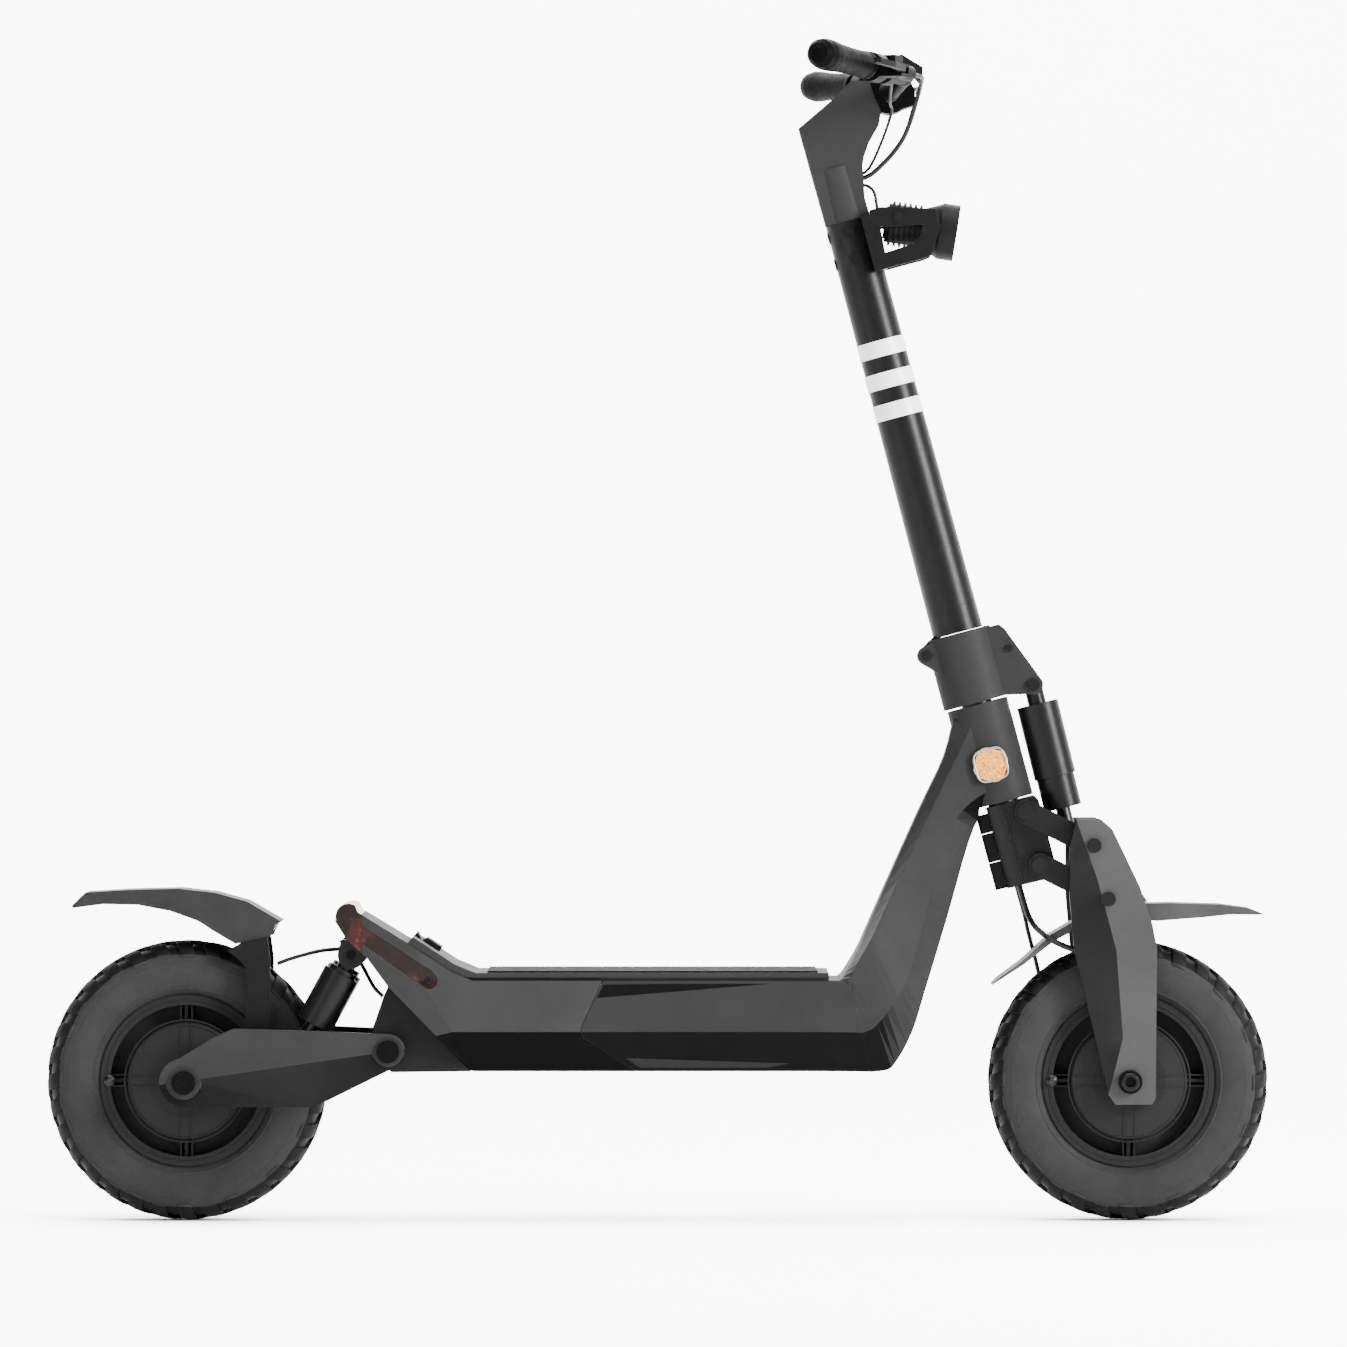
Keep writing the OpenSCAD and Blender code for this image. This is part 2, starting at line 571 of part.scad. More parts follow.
module latch_lever() {
  p = latch_pt;
  color(c_black) on_steer() difference() {
    union() {
      cross_bar(p, 5.5, -9, 9);
      plate([p + [-5, 0], p + [-5.4, 15.5], p + [-9, 15.5], p + [-9, 20], p + [-3, 22], p + [0, 16], p + [5, 0]], -9, 9);
      plate([p + [-5, 0], p + [5, 0], p + [11, -14], p + [8, -20], p + [2, -20]], -9, 9);
    }
    cross_bar(p, 4 + run, -20, 20);
  }
}

// ---- stem ----
foot_w = collar_top + gap;
stem_top_w = foot_w + stem_len;
stem_tip_r = stem_r - 3;
function stem_r_at(w) = stem_r + (stem_tip_r - stem_r) * (w - foot_w) / stem_len;
module stem_tube() {
  color(c_black) on_steer() difference() {
    union() {
      translate([0, 0, foot_w]) cylinder(r1 = stem_r, r2 = stem_tip_r, h = stem_len);
      // tongue down to the fold pin
      slab(-12, 12) hull() {
        translate(fold_pt) circle(r = 9.6, $fn = 48);
        translate([-22, foot_w + 2]) circle(r = 3, $fn = 32);
      }
      // catch for the latch
      plate([[20, foot_w], [29.5, foot_w], [29.5, foot_w - 22], [41.5, foot_w - 22], [41.5, foot_w - 15.5], [36, foot_w - 15.5],
             [36, foot_w - 2], [27, foot_w + 1], [20, foot_w + 1]], -9, 9);
    }
    translate([0, 0, foot_w - 60]) cylinder(r = stem_tip_r - 5, h = stem_len + 200);
    cross_bar(fold_pt, 4 + run, -100, 100);
    for (w = bolt_w) {
      cross_bar([-3, w], 6.5, -60, -stem_r_at(w) + 2.5);
      cross_bar([-3, w], 6.5, stem_r_at(w) - 2.5, 60);
      translate([-60, 0, w]) rotate([0, 90, 0]) cylinder(r = 6.5, h = 62.5 - stem_r_at(w));
    }
  }
}
stripe_w = [466, 431, 397];      // upper edge of each band
stripe_h = 18;
module stem_stripes() {
  color(c_white) on_steer() for (w = stripe_w) translate([0, 0, w - stripe_h]) difference() {
    cylinder(r1 = stem_r_at(w - stripe_h) + 0.6, r2 = stem_r_at(w) + 0.6, h = stripe_h);
    translate([0, 0, -0.01]) cylinder(r1 = stem_r_at(w - stripe_h), r2 = stem_r_at(w), h = stripe_h + 0.02);
  }
}
neck_base = stem_top_w + gap / 2;
bar_u = 80;
bar_w0 = neck_base + 124;
// Side of the head casting on top of the stem
function head_side() = concat(
  [[-stem_tip_r, neck_base], [-26, neck_base + 112], [14, neck_base + 131], [44, neck_base + 148],
   [62, neck_base + 142], [66, neck_base + 106], [60, neck_base + 93], [46, neck_base + 79],
   [35, neck_base + 63], [31, neck_base + 54], [24, neck_base + 18], [stem_tip_r, neck_base]]);
module stem_head() {
  color(c_frame) on_steer() difference() {
    union() {
      translate([0, 0, neck_base]) cylinder(r = stem_tip_r, h = 60);
      intersection() {
        plate(head_side(), -30, 30);
        rotate([0, -90, 0]) translate([0, 0, -120]) linear_extrude(200)
          polygon([[neck_base, stem_tip_r - 4], [neck_base + 60, 22], [neck_base + 160, 19],
                   [neck_base + 160, -19], [neck_base + 60, -22], [neck_base, -stem_tip_r + 4]]);
      }
      translate([0, 0, neck_base - 46]) cylinder(r = stem_tip_r - 5.3, h = 50);
    }
    translate([0, 0, neck_base - 60]) cylinder(r = stem_tip_r - 9, h = 110);
    translate([bar_u, 60, bar_w0]) rotate([90, 0, 0]) cylinder(r = bar_r + 5.3, h = 120);
    // cable entry
    translate([14, -8, neck_base + 30]) cube([40, 16, 28]);
  }
}
// Clamp screws through the foot of the head casting, at the sides and at the rear
bolt_w = [neck_base - 13, neck_base - 43];
module stem_bolts() {
  color(c_steel) on_steer() for (w = bolt_w) {
    r = stem_r_at(w);
    both_sides() cross_bar([-3, w], 6.5, r - 2.5, r + 0.8);
    translate([-r - 0.8, 0, w]) rotate([0, 90, 0]) cylinder(r = 6.5, h = 3.3);
  }
}
bar_mid = steer_pt(bar_u, bar_w0);
// Handlebar centre line on the right-hand side, as offsets from the middle
bar_p1 = [bar_mid[0], -50, bar_mid[1]];
bar_p2 = [bar_mid[0] + 14, -105, bar_mid[1] + 14];
bar_end = [bar_mid[0] - 82, -(bar_w / 2 - 5), bar_mid[1] + 26];
bar_dir = unit(bar_end - bar_p2);
bar_fwd = unit(cross([0, 0, 1], bar_dir));
bar_up = cross(bar_dir, bar_fwd);
bar_run = norm(bar_end - bar_p2);
// Right-hand bar frame: z outward along the bar, x forward, y up, from the bend
module on_bar() {
  multmatrix([
    [bar_fwd[0], bar_up[0], bar_dir[0], bar_p2[0]],
    [bar_fwd[1], bar_up[1], bar_dir[1], bar_p2[1]],
    [bar_fwd[2], bar_up[2], bar_dir[2], bar_p2[2]],
    [0, 0, 0, 1]]) children();
}
module rod_between(a, b, r) {
  d = b - a;
  translate(a) rotate([0, acos(d[2] / norm(d)), atan2(d[1], d[0])]) cylinder(r = r, h = norm(d));
}
// Swaged sleeve over a bend at p, on the way from a to b
module bend_sleeve(a, p, b) {
  $fn = 40;
  da = (p - a) / norm(p - a);
  db = (b - p) / norm(b - p);
  dm = (da + db) / norm(da + db);
  hull() {
    rod_between(p - 5 * da, p - 4.5 * da, bar_r + 0.4);
    rod_between(p - 0.25 * dm, p + 0.25 * dm, bar_r + 0.6);
    rod_between(p + 4.5 * db, p + 5 * db, bar_r + 0.4);
  }
}
module handlebar() {
  color(c_black) {
    rod_between(mirror_y(bar_p1), bar_p1, bar_r);
    translate([bar_mid[0], -24, bar_mid[1]]) rotate([-90, 0, 0]) cylinder(r = bar_r + 4.8, h = 48);
    both_sides() {
      rod_between(bar_p1, bar_p2, bar_r);
      bend_sleeve(mirror_y(bar_p1), bar_p1, bar_p2);
      bend_sleeve(bar_p1, bar_p2, bar_end);
      rod_between(bar_p2, bar_end, bar_r);
    }
  }
}
// Cap that holds the bar against the head casting
module bar_clamp() {
  color(c_black) on_steer() difference() {
    union() {
      translate([bar_u, 20, bar_w0]) rotate([90, 0, 0]) cylinder(r = 23, h = 40);
      plate([[bar_u - 4, bar_w0 - 22], [bar_u + 24, bar_w0 - 20], [bar_u + 28, bar_w0 - 6], [bar_u + 26, bar_w0 + 8],
             [bar_u + 16, bar_w0 + 23], [bar_u - 8, bar_w0 + 29.5]], -20, 20);
    }
    translate([bar_u, 60, bar_w0]) rotate([90, 0, 0]) cylinder(r = bar_r + 4.8, h = 120);
    slab(-40, 40) offset(delta = 0.4) polygon(head_side());
    rotate([0, rake, 0]) translate([-head_x, 0, -head_z]) plate([bar_mid + [-40, 26.6], bar_mid + [24, 25.2], bar_mid + [60, -20],
                                                               bar_mid + [60, 60], bar_mid + [-40, 60]], -40, 40);
  }
}
grip_in = bar_run - grip_len + 2;
module grips() {
  color(c_rubber) both_sides() on_bar() difference() {
    rotate_extrude() polygon([
      [0, grip_in], [15.4, grip_in], [15.4, grip_in + 4], [14.6, grip_in + 8], [14.6, grip_in + 45],
      [15.6, grip_in + 80], [17, grip_in + 100], [17.2, grip_in + 112], [15.5, grip_in + 124],
      [11, grip_in + grip_len - 1], [5, grip_in + grip_len + 2.5], [0, grip_in + grip_len + 3]]);
    translate([0, 0, -1]) cylinder(r = bar_r, h = bar_run + 1);
  }
}
perch_z = grip_in - 34;          // brake perch, along the bar
lever_pt = [30, -4, perch_z + 12];
module brake_perches() {
  color(c_black) both_sides() on_bar() difference() {
    union() {
      translate([0, 0, perch_z]) cylinder(r = bar_r + 5, h = 22);
      translate([8, -11, perch_z]) cube([30, 14, 22]);
      // reservoir and hose barrel, pointing inboard
      translate([24, -3, perch_z - 34]) cylinder(r = 8.5, h = 36);
      translate([24, -3, perch_z - 44]) cylinder(r = 4.5, h = 11);
    }
    translate([0, 0, -1]) cylinder(r = bar_r, h = bar_run);
    translate([22, -7.4, perch_z + 2]) cube([24, 6.8, 40]);
    translate([lever_pt[0], 0, lever_pt[2]]) rotate([90, 0, 0]) cylinder(r = 3, h = 40, center = true);
  }
}
module brake_lever() {
  color(c_black) on_bar() translate([0, lever_pt[1], 0]) union() {
    difference() {
      translate([0, 3, 0]) rotate([90, 0, 0]) linear_extrude(6) union() {
        translate([lever_pt[0], lever_pt[2]]) circle(r = 6.5);
        polygon([[24, perch_z + 14], [37, perch_z + 12], [48, perch_z + 34], [51, perch_z + 70], [49, perch_z + 108],
                 [54, perch_z + 118], [49, perch_z + 122], [43, perch_z + 112], [43, perch_z + 70], [40, perch_z + 38]]);
      }
      translate([lever_pt[0], 10, lever_pt[2]]) rotate([90, 0, 0]) cylinder(r = 3 + run, h = 20);
    }
    translate([lever_pt[0], 6.4, lever_pt[2]]) rotate([90, 0, 0]) cylinder(r = 3 - run, h = 12.8);
  }
}
module right_brake_lever() { brake_lever(); }
module left_brake_lever() { mirror([0, 1, 0]) brake_lever(); }
pod_z = perch_z - 34;            // thumb throttle (right) and switch pod (left)
pod_top = 16;                    // top of each pod above the bar's centre line
pod_pin_r = 1.8;
slot_y = 11.7;                   // slot that the throttle paddle turns in
slot_h = 2.8;
button_r = 5;
button_h = 4.5;
button_rise = 2;                 // how far the button stands above its pod
paddle_pt = [2, pod_z + 10];
module pod() {
  difference() {
    union() {
      translate([0, 0, pod_z]) cylinder(r = bar_r + 4.3, h = 20);
      translate([-9, 6, pod_z - 1]) cube([25, pod_top - 6, 22]);
    }
    translate([0, 0, -1]) cylinder(r = bar_r, h = bar_run);
  }
}
module control_pods() {
  color(c_black) {
    on_bar() {
      difference() {
        pod();
        translate([-20, slot_y, pod_z + 4]) cube([30, slot_h, 40]);
      }
      translate([paddle_pt[0], pod_top, paddle_pt[1]]) rotate([90, 0, 0]) cylinder(r = pod_pin_r, h = 4.7);
    }
    mirror([0, 1, 0]) on_bar() difference() {
      pod();
      translate([paddle_pt[0], pod_top + 1, paddle_pt[1]]) rotate([90, 0, 0])
        cylinder(r = button_r + run, h = button_h - button_rise + 2.5);
    }
  }
}
module throttle_paddle() {
  color(c_frame) on_bar() translate([0, slot_y + 0.2, 0]) difference() {
    rotate([-90, 0, 0]) linear_extrude(slot_h - 0.4) difference() {
      union() {
        translate([paddle_pt[0], -paddle_pt[1]]) circle(r = 5);
        polygon([[-24, -pod_z - 14], [-3, -pod_z - 5.4], [6, -pod_z - 13], [-3, -pod_z - 15], [-17, -pod_z - 26], [-26, -pod_z - 22]]);
      }
      translate([paddle_pt[0], -paddle_pt[1]]) circle(r = pod_pin_r + run);
    }
  }
}
module mode_button() {
  color(c_red) mirror([0, 1, 0]) on_bar() translate([paddle_pt[0], pod_top + button_rise, paddle_pt[1]])
    rotate([90, 0, 0]) cylinder(r = button_r, h = button_h);
}
// Display over the clamp, tilted back towards the rider
module display() {
  m = bar_mid;
  color(c_black) difference() {
    plate([m + [-12, 30], m + [-11.6, 34.5], m + [14, 41.5], m + [18.5, 38.5], m + [36.5, 27.5], m + [36.5, 16],
           m + [33, 13], m + [24, 25], m + [0, 26.5]], -34, 34);
    on_screen(1.2) cube([20, 50, 4], center = true);
  }
}
module on_screen(depth) {
  translate([bar_mid[0] + 1.4, 0, bar_mid[1] + 38]) rotate([0, -15.3, 0]) translate([0, 0, 2 - depth]) children();
}

// ---- headlight ----
lamp_tilt_pt = [54.5, neck_base - 11];
lamp_aim = 9;
lamp_r = 24.5;
lamp_rim_r = 31;
lens_r = 28;
screw_r = 4;
screw_in = lamp_r + 2.5;         // inner end of the tilt screws
cheek_y = lamp_rim_r + 1;        // inner face of the bracket's cheeks
module headlight_bracket() {
  b = neck_base;
  color(c_black) on_steer() difference() {
    union() {
      both_sides() slab(cheek_y, cheek_y + 4) difference() {
        polygon([[20, b + 4.5], [39, b + 4.5], [96, b - 13], [96, b - 33], [78, b - 61], [70, b - 62], [20, b - 62]]);
        polygon([[32, b - 16], [78, b - 26], [68, b - 43], [30, b - 45]]);
      }
      plate([[14, b + 4.5], [29, b + 4.5], [28, b - 62], [14, b - 62]], -cheek_y - 4, cheek_y + 4);
    }
    translate([0, 0, b - 100]) cylinder(r1 = stem_r_at(b - 100) + 0.3, r2 = stem_tip_r + 0.3, h = 100);
    translate([-40, -60, b - gap / 2]) cube([40 + stem_tip_r + 1, 120, 20]);
    cross_bar(lamp_tilt_pt, screw_r + run, -100, 100);
  }
}
lamp_drop = 6.6;                 // lamp axis below its tilt screws
module on_lamp() {
  on_steer() translate([lamp_tilt_pt[0], 0, lamp_tilt_pt[1]]) rotate([0, 90 + rake + lamp_aim, 0]) translate([lamp_drop, 0, 0]) children();
}
module headlight_body() {
  color(c_black) on_lamp() difference() {
    union() {
      translate([0, 0, -12]) cylinder(r = lamp_r - 3, h = 42);
      // boss on each side for the tilt screws
      translate([-lamp_drop, 0, 0]) rotate([90, 0, 0]) cylinder(r = 6, h = 2 * screw_in, center = true);
      translate([0, 0, -14]) cylinder(r = lamp_r - 6.5, h = 3);
      for (i = [1:6]) translate([0, 0, -14 + 6 * i]) cylinder(r = lamp_r, h = 3);
      translate([0, 0, 27]) cylinder(r1 = lamp_r - 3, r2 = lamp_rim_r - 1, h = 20);
      translate([0, 0, 46.9]) cylinder(r = lamp_rim_r, h = 19);
    }
    translate([0, 0, 50]) cylinder(r = lens_r, h = 40);
  }
  // tilt screws through the bracket's cheeks
  color(c_steel) on_steer() both_sides() {
    cross_bar(lamp_tilt_pt, screw_r, screw_in, cheek_y + 4);
    cross_bar(lamp_tilt_pt, 6, cheek_y + 4, cheek_y + 6);
  }
}
module headlight_lens() {
  color(c_white) on_lamp() translate([0, 0, 50]) cylinder(r = lens_r, h = 10);
}

// ---- front fork ----
fork_a = [pivot_u, upper_w] + link_vec;
fork_b = [pivot_u, lower_w] + link_vec;
fa = steer_pt(fork_a[0], fork_a[1]);
fb = steer_pt(fork_b[0], fork_b[1]);
link_w = 13;
module link_pair(a, b) {
  both_sides() difference() {
    slab(link_in, link_out) link_outline(a, b, link_w, link_w);
    cross_bar(a, bolt_r + run, 0, 100);
    cross_bar(b, 5 + run, 0, 100);
  }
}
module upper_link() {
  color(c_black) on_steer() {
    difference() {
      link_pair([pivot_u, upper_w], fork_a);
      cross_bar(pin_low, 5, -100, 100);
    }
    cross_bar(pin_low, 5, -link_out, link_out);
    both_sides() cross_ring(pin_low, 6.5, 5, eye_hw + 1, link_in);
  }
}
module lower_link() {
  color(c_black) on_steer() {
    link_pair([pivot_u, lower_w], fork_b);
    web = [pivot_u, lower_w] + 0.56 * link_vec;
    cross_bar(web, 9, -link_in, link_in);
  }
}
// Outline of each fork leg
function leg_side() = concat(
  [[fa[0] - 19, fa[1] + 29], [fa[0] + 7, fa[1] + 29], [fa[0] + 20, fa[1] + 18],
   [front_x + 10, fb[1] + 14], [front_x + 24, fb[1] - 28], [front_x + 29, fb[1] - 54],
   [front_x + 28, axle_z - 18]],
  [[front_x + 24, axle_z - 25], [front_x - 16, axle_z - 25], [front_x - 24, axle_z - 14],
   [front_x - 36, axle_z + 40], [front_x - 61, fb[1] - 56],
   [front_x - 66, fb[1] + 2], [front_x - 66, fa[1] - 2]]);
module fork_legs() {
  both_sides() difference() {
    intersection() {
      plate(leg_side(), leg_in, leg_out);
      // the outer face draws in towards the foot
      rotate([0, -90, 0]) translate([0, 0, -front_x - 100]) linear_extrude(300)
        polygon([[axle_z - 60, leg_in - 1], [axle_z - 60, leg_out - 12], [axle_z + 40, leg_out - 10],
                 [fb[1] - 30, leg_out], [fa[1] + 60, leg_out - 4], [fa[1] + 60, leg_in - 1]]);
    }
    cross_bar([front_x, axle_z], axle_r, 0, 100);
    cross_bar(fa, 5, 0, 100);
    cross_bar(fb, 5, 0, 100);
  }
}
// Both legs and the bridge over the wheel, which the fender hangs from
bridge_z = axle_z + tyre_r + 42.6;
module front_fork() {
  color(c_frame) {
    fork_legs();
    plate([[fb[0] + 17, bridge_z], [front_x + 20, bridge_z], [front_x + 6, fb[1] + 17],
           [fb[0] + 18, fb[1] + 30]], -leg_in - 1, leg_in + 1);
  }
}
module fork_bolts() {
  color(c_steel) both_sides() for (p = [fa, fb]) {
    cross_bar(p, 5, link_in + 1, leg_out);
    cross_bar(p, 8, leg_out, leg_out + 3);
  }
}
front_len = norm(pin_low - pin_top);
front_tilt = atan2(pin_low[0] - pin_top[0], pin_top[1] - pin_low[1]);
// Frame of the front shock: z runs from the top eye down to the lower eye
module on_front_shock() { on_steer() translate([pin_top[0], 0, pin_top[1]]) rotate([0, 180 - front_tilt, 0]) children(); }
module front_shock_can() {
  color(c_black) on_front_shock() difference() {
    union() {
      difference() {
        union() {
          translate([0, 0, 4]) cylinder(r = 10, h = 20);
          eye(11, 5 + run);
        }
        translate([0, 30, 0]) rotate([90, 0, 0]) cylinder(r = 5 + run, h = 60);
      }
      translate([0, 0, 21.5]) cylinder(r = front_can_r, h = 82);
      translate([0, 0, 103]) cylinder(r = front_can_r - 2, h = front_len - 132);
    }
    translate([0, 0, 34]) cylinder(r = front_can_r - 6, h = 200);
  }
}
module front_shock_rod() {
  color(c_steel) on_front_shock() difference() {
    union() {
      translate([0, 0, 76]) cylinder(r = front_can_r - 6 - run, h = 10);
      translate([0, 0, 76]) cylinder(r = 8, h = front_len - 82);
      translate([0, 0, front_len]) eye(11, 5 + pivot_play);
    }
    translate([0, 30, front_len]) rotate([90, 0, 0]) cylinder(r = 5 + pivot_play, h = 60);
  }
}

// ---- wheels ----
bead_r = rim_r - 6;
tyre_hw = tyre_w / 2;
// Section of the tyre in radius and width, from one bead round the crown to the other
function tyre_half() = [
  [bead_r + 0.3, 18], [bead_r + 0.3, 27.6], [rim_r + 0.6, 27.6],
  [rim_r + 5, tyre_hw - 6], [rim_r + 15, tyre_hw - 1.5], [rim_r + 30, tyre_hw],
  [tyre_r - 16, tyre_hw - 1.5], [tyre_r - 7, tyre_hw - 6], [tyre_r - 2, tyre_hw - 15], [tyre_r, tyre_hw - 26]];
function tyre_inner() = [
  [bead_r + 0.3, 18], [rim_r + 3, 20], [rim_r + 14, tyre_hw - 7], [tyre_r - 24, tyre_hw - 8],
  [tyre_r - 14, tyre_hw - 20], [tyre_r - 12, 0]];
module tyre(x) {
  half = concat([for (i = [len(tyre_inner()) - 1:-1:1]) tyre_inner()[i]], tyre_half());
  color(c_rubber) translate([x, 0, axle_z]) rotate([-90, 0, 0]) rotate_extrude()
    polygon(concat(half, [for (i = [len(half) - 1:-1:0]) [half[i][0], -half[i][1]]]));
}
shell_r = 64;
disc_r = 66;
module hub(x) {
  translate([x, 0, axle_z]) rotate([-90, 0, 0]) {
    // rim, web, ribs and motor shell in one casting
    color(c_frame) {
      rotate_extrude() polygon([
        [shell_r - 6, -40], [shell_r, -40], [shell_r, -9], [bead_r - 5, -7], [bead_r - 5, -31], [rim_r, -31], [rim_r, -28],
        [bead_r, -28], [bead_r, 28], [rim_r, 28], [rim_r, 31], [bead_r - 5, 31], [bead_r - 5, 7], [shell_r, 9],
        [shell_r, 40], [shell_r - 6, 40]]);
      for (a = [0:90:270]) rotate([0, 0, a]) translate([shell_r - 1, -2, -24]) cube([bead_r - shell_r - 3, 4, 48]);
    }
    // side covers with their bearings
    color(c_frame) for (s = [0, 1]) mirror([0, 0, s]) rotate_extrude() polygon([
      [14, 40], [shell_r, 40], [shell_r - 2, 44], [40, hub_hw], [20, hub_hw], [14, hub_hw - 1]]);
    color(c_steel) for (s = [0, 1]) mirror([0, 0, s]) translate([0, 0, 38]) difference() {
      cylinder(r = 14, h = 9);
      translate([0, 0, -1]) cylinder(r = axle_r + run, h = 12);
    }
    // brake disc on the left-hand side
    color(c_steel) translate([0, 0, hub_hw]) difference() {
      cylinder(r = disc_r, h = 2);
      translate([0, 0, -1]) cylinder(r = 22, h = 4);
      for (a = [0:30:330]) rotate([0, 0, a]) translate([50, 0, -1]) cylinder(r = 7, h = 4);
    }
  }
}
// Axle with the motor's stator pressed on it
module axle(x, half_len) {
  p = [x, axle_z];
  color(c_steel) cross_bar(p, axle_r, -half_len, half_len);
  color([0.5, 0.35, 0.2]) cross_ring(p, shell_r - 9, axle_r, -22, 22);
}
module axle_nuts(x, y0) {
  color(c_black) both_sides() translate([x, y0, axle_z]) rotate([-90, 0, 0]) difference() {
    cylinder(r = 13, h = 7);
    translate([0, 0, -1]) cylinder(r = axle_r, h = 9);
  }
}
foot_in = 10.5;                  // the leg's outer face steps in this far at the axle
module front_axle() {
  axle(front_x, leg_out - 6);
  axle_nuts(front_x, leg_out - foot_in);
}
module rear_axle() {
  axle(rear_x, arm_out + 6);
  axle_nuts(rear_x, arm_out);
}
module caliper(x, a, y0) {
  p = [x, axle_z] + polar(disc_r - 14, a);
  color(c_black) difference() {
    translate([p[0], 0, p[1]]) rotate([0, -a, 0]) translate([-16, y0, -19]) cube([31, 2 * (hub_hw + 1 - y0) + 4, 38]);
    translate([x, hub_hw - 0.8, axle_z]) rotate([-90, 0, 0]) cylinder(r = disc_r + 1.5, h = 3.6);
    translate([x, 0, axle_z]) rotate([-90, 0, 0]) cylinder(r = shell_r + 1, h = hub_hw + 0.2);
  }
}
module front_caliper() {
  difference() {
    caliper(front_x, 150, hub_hw - 6);
    plate([for (p = leg_side()) p], leg_in - 0.1, leg_out + 1);
  }
}
module rear_caliper() {
  caliper(rear_x, 40, hub_hw - 6);
  // torque bracket out to the swingarm
  p = [rear_x, axle_z] + polar(disc_r - 14, 40);
  color(c_black) cross_bar(p, 6, hub_hw + 12, arm_in);
}

// ---- fenders ----
// Outlines round the tyre, as radius beyond the tyre and angle
function round_tyre(x, list) = [for (q = list) [x, axle_z] + polar(tyre_r + q[0], q[1])];
front_fender_top = [[82, 50.5], [77, 55], [64, 62.5], [46, 77], [40, 92], [36, 103], [28, 118], [22, 132], [28, 142]];
front_fender_low = [[29, 145], [18, 132], [20, 118], [26, 103], [24, 92], [24, 80], [42, 66], [60, 58.5]];
module fender_skin(x, outline, hw) {
  plate(round_tyre(x, outline), -hw, hw);
}
module front_fender() {
  color(c_black) difference() {
    fender_skin(front_x, concat(front_fender_top, front_fender_low), 41);
    // open underneath, round the tyre
    fender_skin(front_x, [[78, 49], [73, 55], [60, 62.5], [42, 77], [36, 92], [32, 103], [24, 118], [18, 132], [24, 146], [-20, 146],
                          [-20, 120], [-20, 90], [-20, 60], [20, 45]], 37.5);
    // beside the lower links
    both_sides() translate([fb[0] - 90, link_in - 0.6, fb[1] - link_w - 1.5]) cube([105, 20, 40]);
  }
}
rear_fender_top = [[75, 123], [80, 118], [65, 107], [57, 92], [55, 81], [54, 71], [50, 59], [44, 60], [30, 59.5]];
rear_fender_low = [[25, 61], [6, 70], [14, 80], [22, 85.5], [33, 95], [46, 105], [60, 115], [72, 123]];
module rear_fender() {
  color(c_black) difference() {
    fender_skin(rear_x, concat(rear_fender_top, rear_fender_low), 50);
    fender_skin(rear_x, [[71, 125], [76, 118], [61, 107], [53, 92], [51, 81], [50, 71], [42, 62], [20, 50],
                         [-20, 60], [-20, 90], [-20, 125]], 46.5);
  }
}
module fender_stay() {
  t = axle_z + tyre_r;
  color(c_black) both_sides() plate([
    [rear_x + 46, t - 11], [rear_x + 60, t - 3], [rear_x + 90, t + 3], [rear_x + 93, t - 20], [stay_x + 15, axle_z + 44.3],
    [stay_x - 14, axle_z + 44.3], [rear_x + 68, t - 32], [rear_x + 60, t - 22]], 50.4, 54.4);
}

// ---- kickstand, folded up on the left ----
kick_x = piv_x + 66;
kick_z = deck_bot + 15;
kick_y = deck_hw - 12;
kick_w = 12;
kick_len = kick_z - 5;
module kickstand_leg() {
  color(c_black) {
    difference() {
      union() {
        cross_bar([kick_x, kick_z], 7.2, kick_y - kick_w / 2, kick_y + kick_w / 2);
        translate([kick_x + 5, kick_y, kick_z]) rotate([0, 90, 0]) cylinder(r = 5.5, h = kick_len - 14);
        translate([kick_x + kick_len - 12, kick_y - 4.5, kick_z - 8]) cube([9, 13.5, 10.5]);
      }
      cross_bar([kick_x, kick_z], 4 + run, 0, 200);
    }
    cross_bar([kick_x, kick_z], 4, kick_y - 24, kick_y + kick_w / 2 + 2);
  }
}

// ---- cables ----
entry = steer_pt(24, neck_base + 44);
// Point on a bar frame of side s (-1 right, 1 left), from x forward, y up and z along the bar
function bar_point(s, p) =
  let (q = bar_p2 + p[0] * bar_fwd + p[1] * bar_up + p[2] * bar_dir)
  [q[0], -s * q[1], q[2]];
module control_cables() {
  e = [entry[0], 0, entry[1]];
  color(c_rubber) {
    for (s = [-1, 1]) {
      h = bar_point(s, [24, -3, perch_z - 44.2]);
      tube([h, [h[0] + 10, s * 118, h[2] - 1], [h[0] + 11, s * 76, h[2] - 4], e + [63, 44 * s, 82], e + [52, 26 * s, 48], e + [36, 12 * s, 24], e + [14, 6 * s, 3], e + [0, 5 * s, -2]], 2.5);
      t = bar_point(s, [3, -bar_r - 2.4, pod_z - 1]);
      tube([t, [t[0], s * 62, t[2] - 16], e + [36, 30 * s, 70], e + [26, 14 * s, 40], e + [12, 3 * s, 10], e + [0, 1.8 * s, 2]], 1.6);
    }
    tube([e + [-7, 0, -10], e + [8, 0, -9], e + [17, 0, -16], e + [20, 0, -30], e + [22, 0, -39], e + [25, 0, -42.3],
          e + [29.4, 0, -43]], 1.8);
  }
}
crown_out = steer_pt(-4, crown_bot + 2);
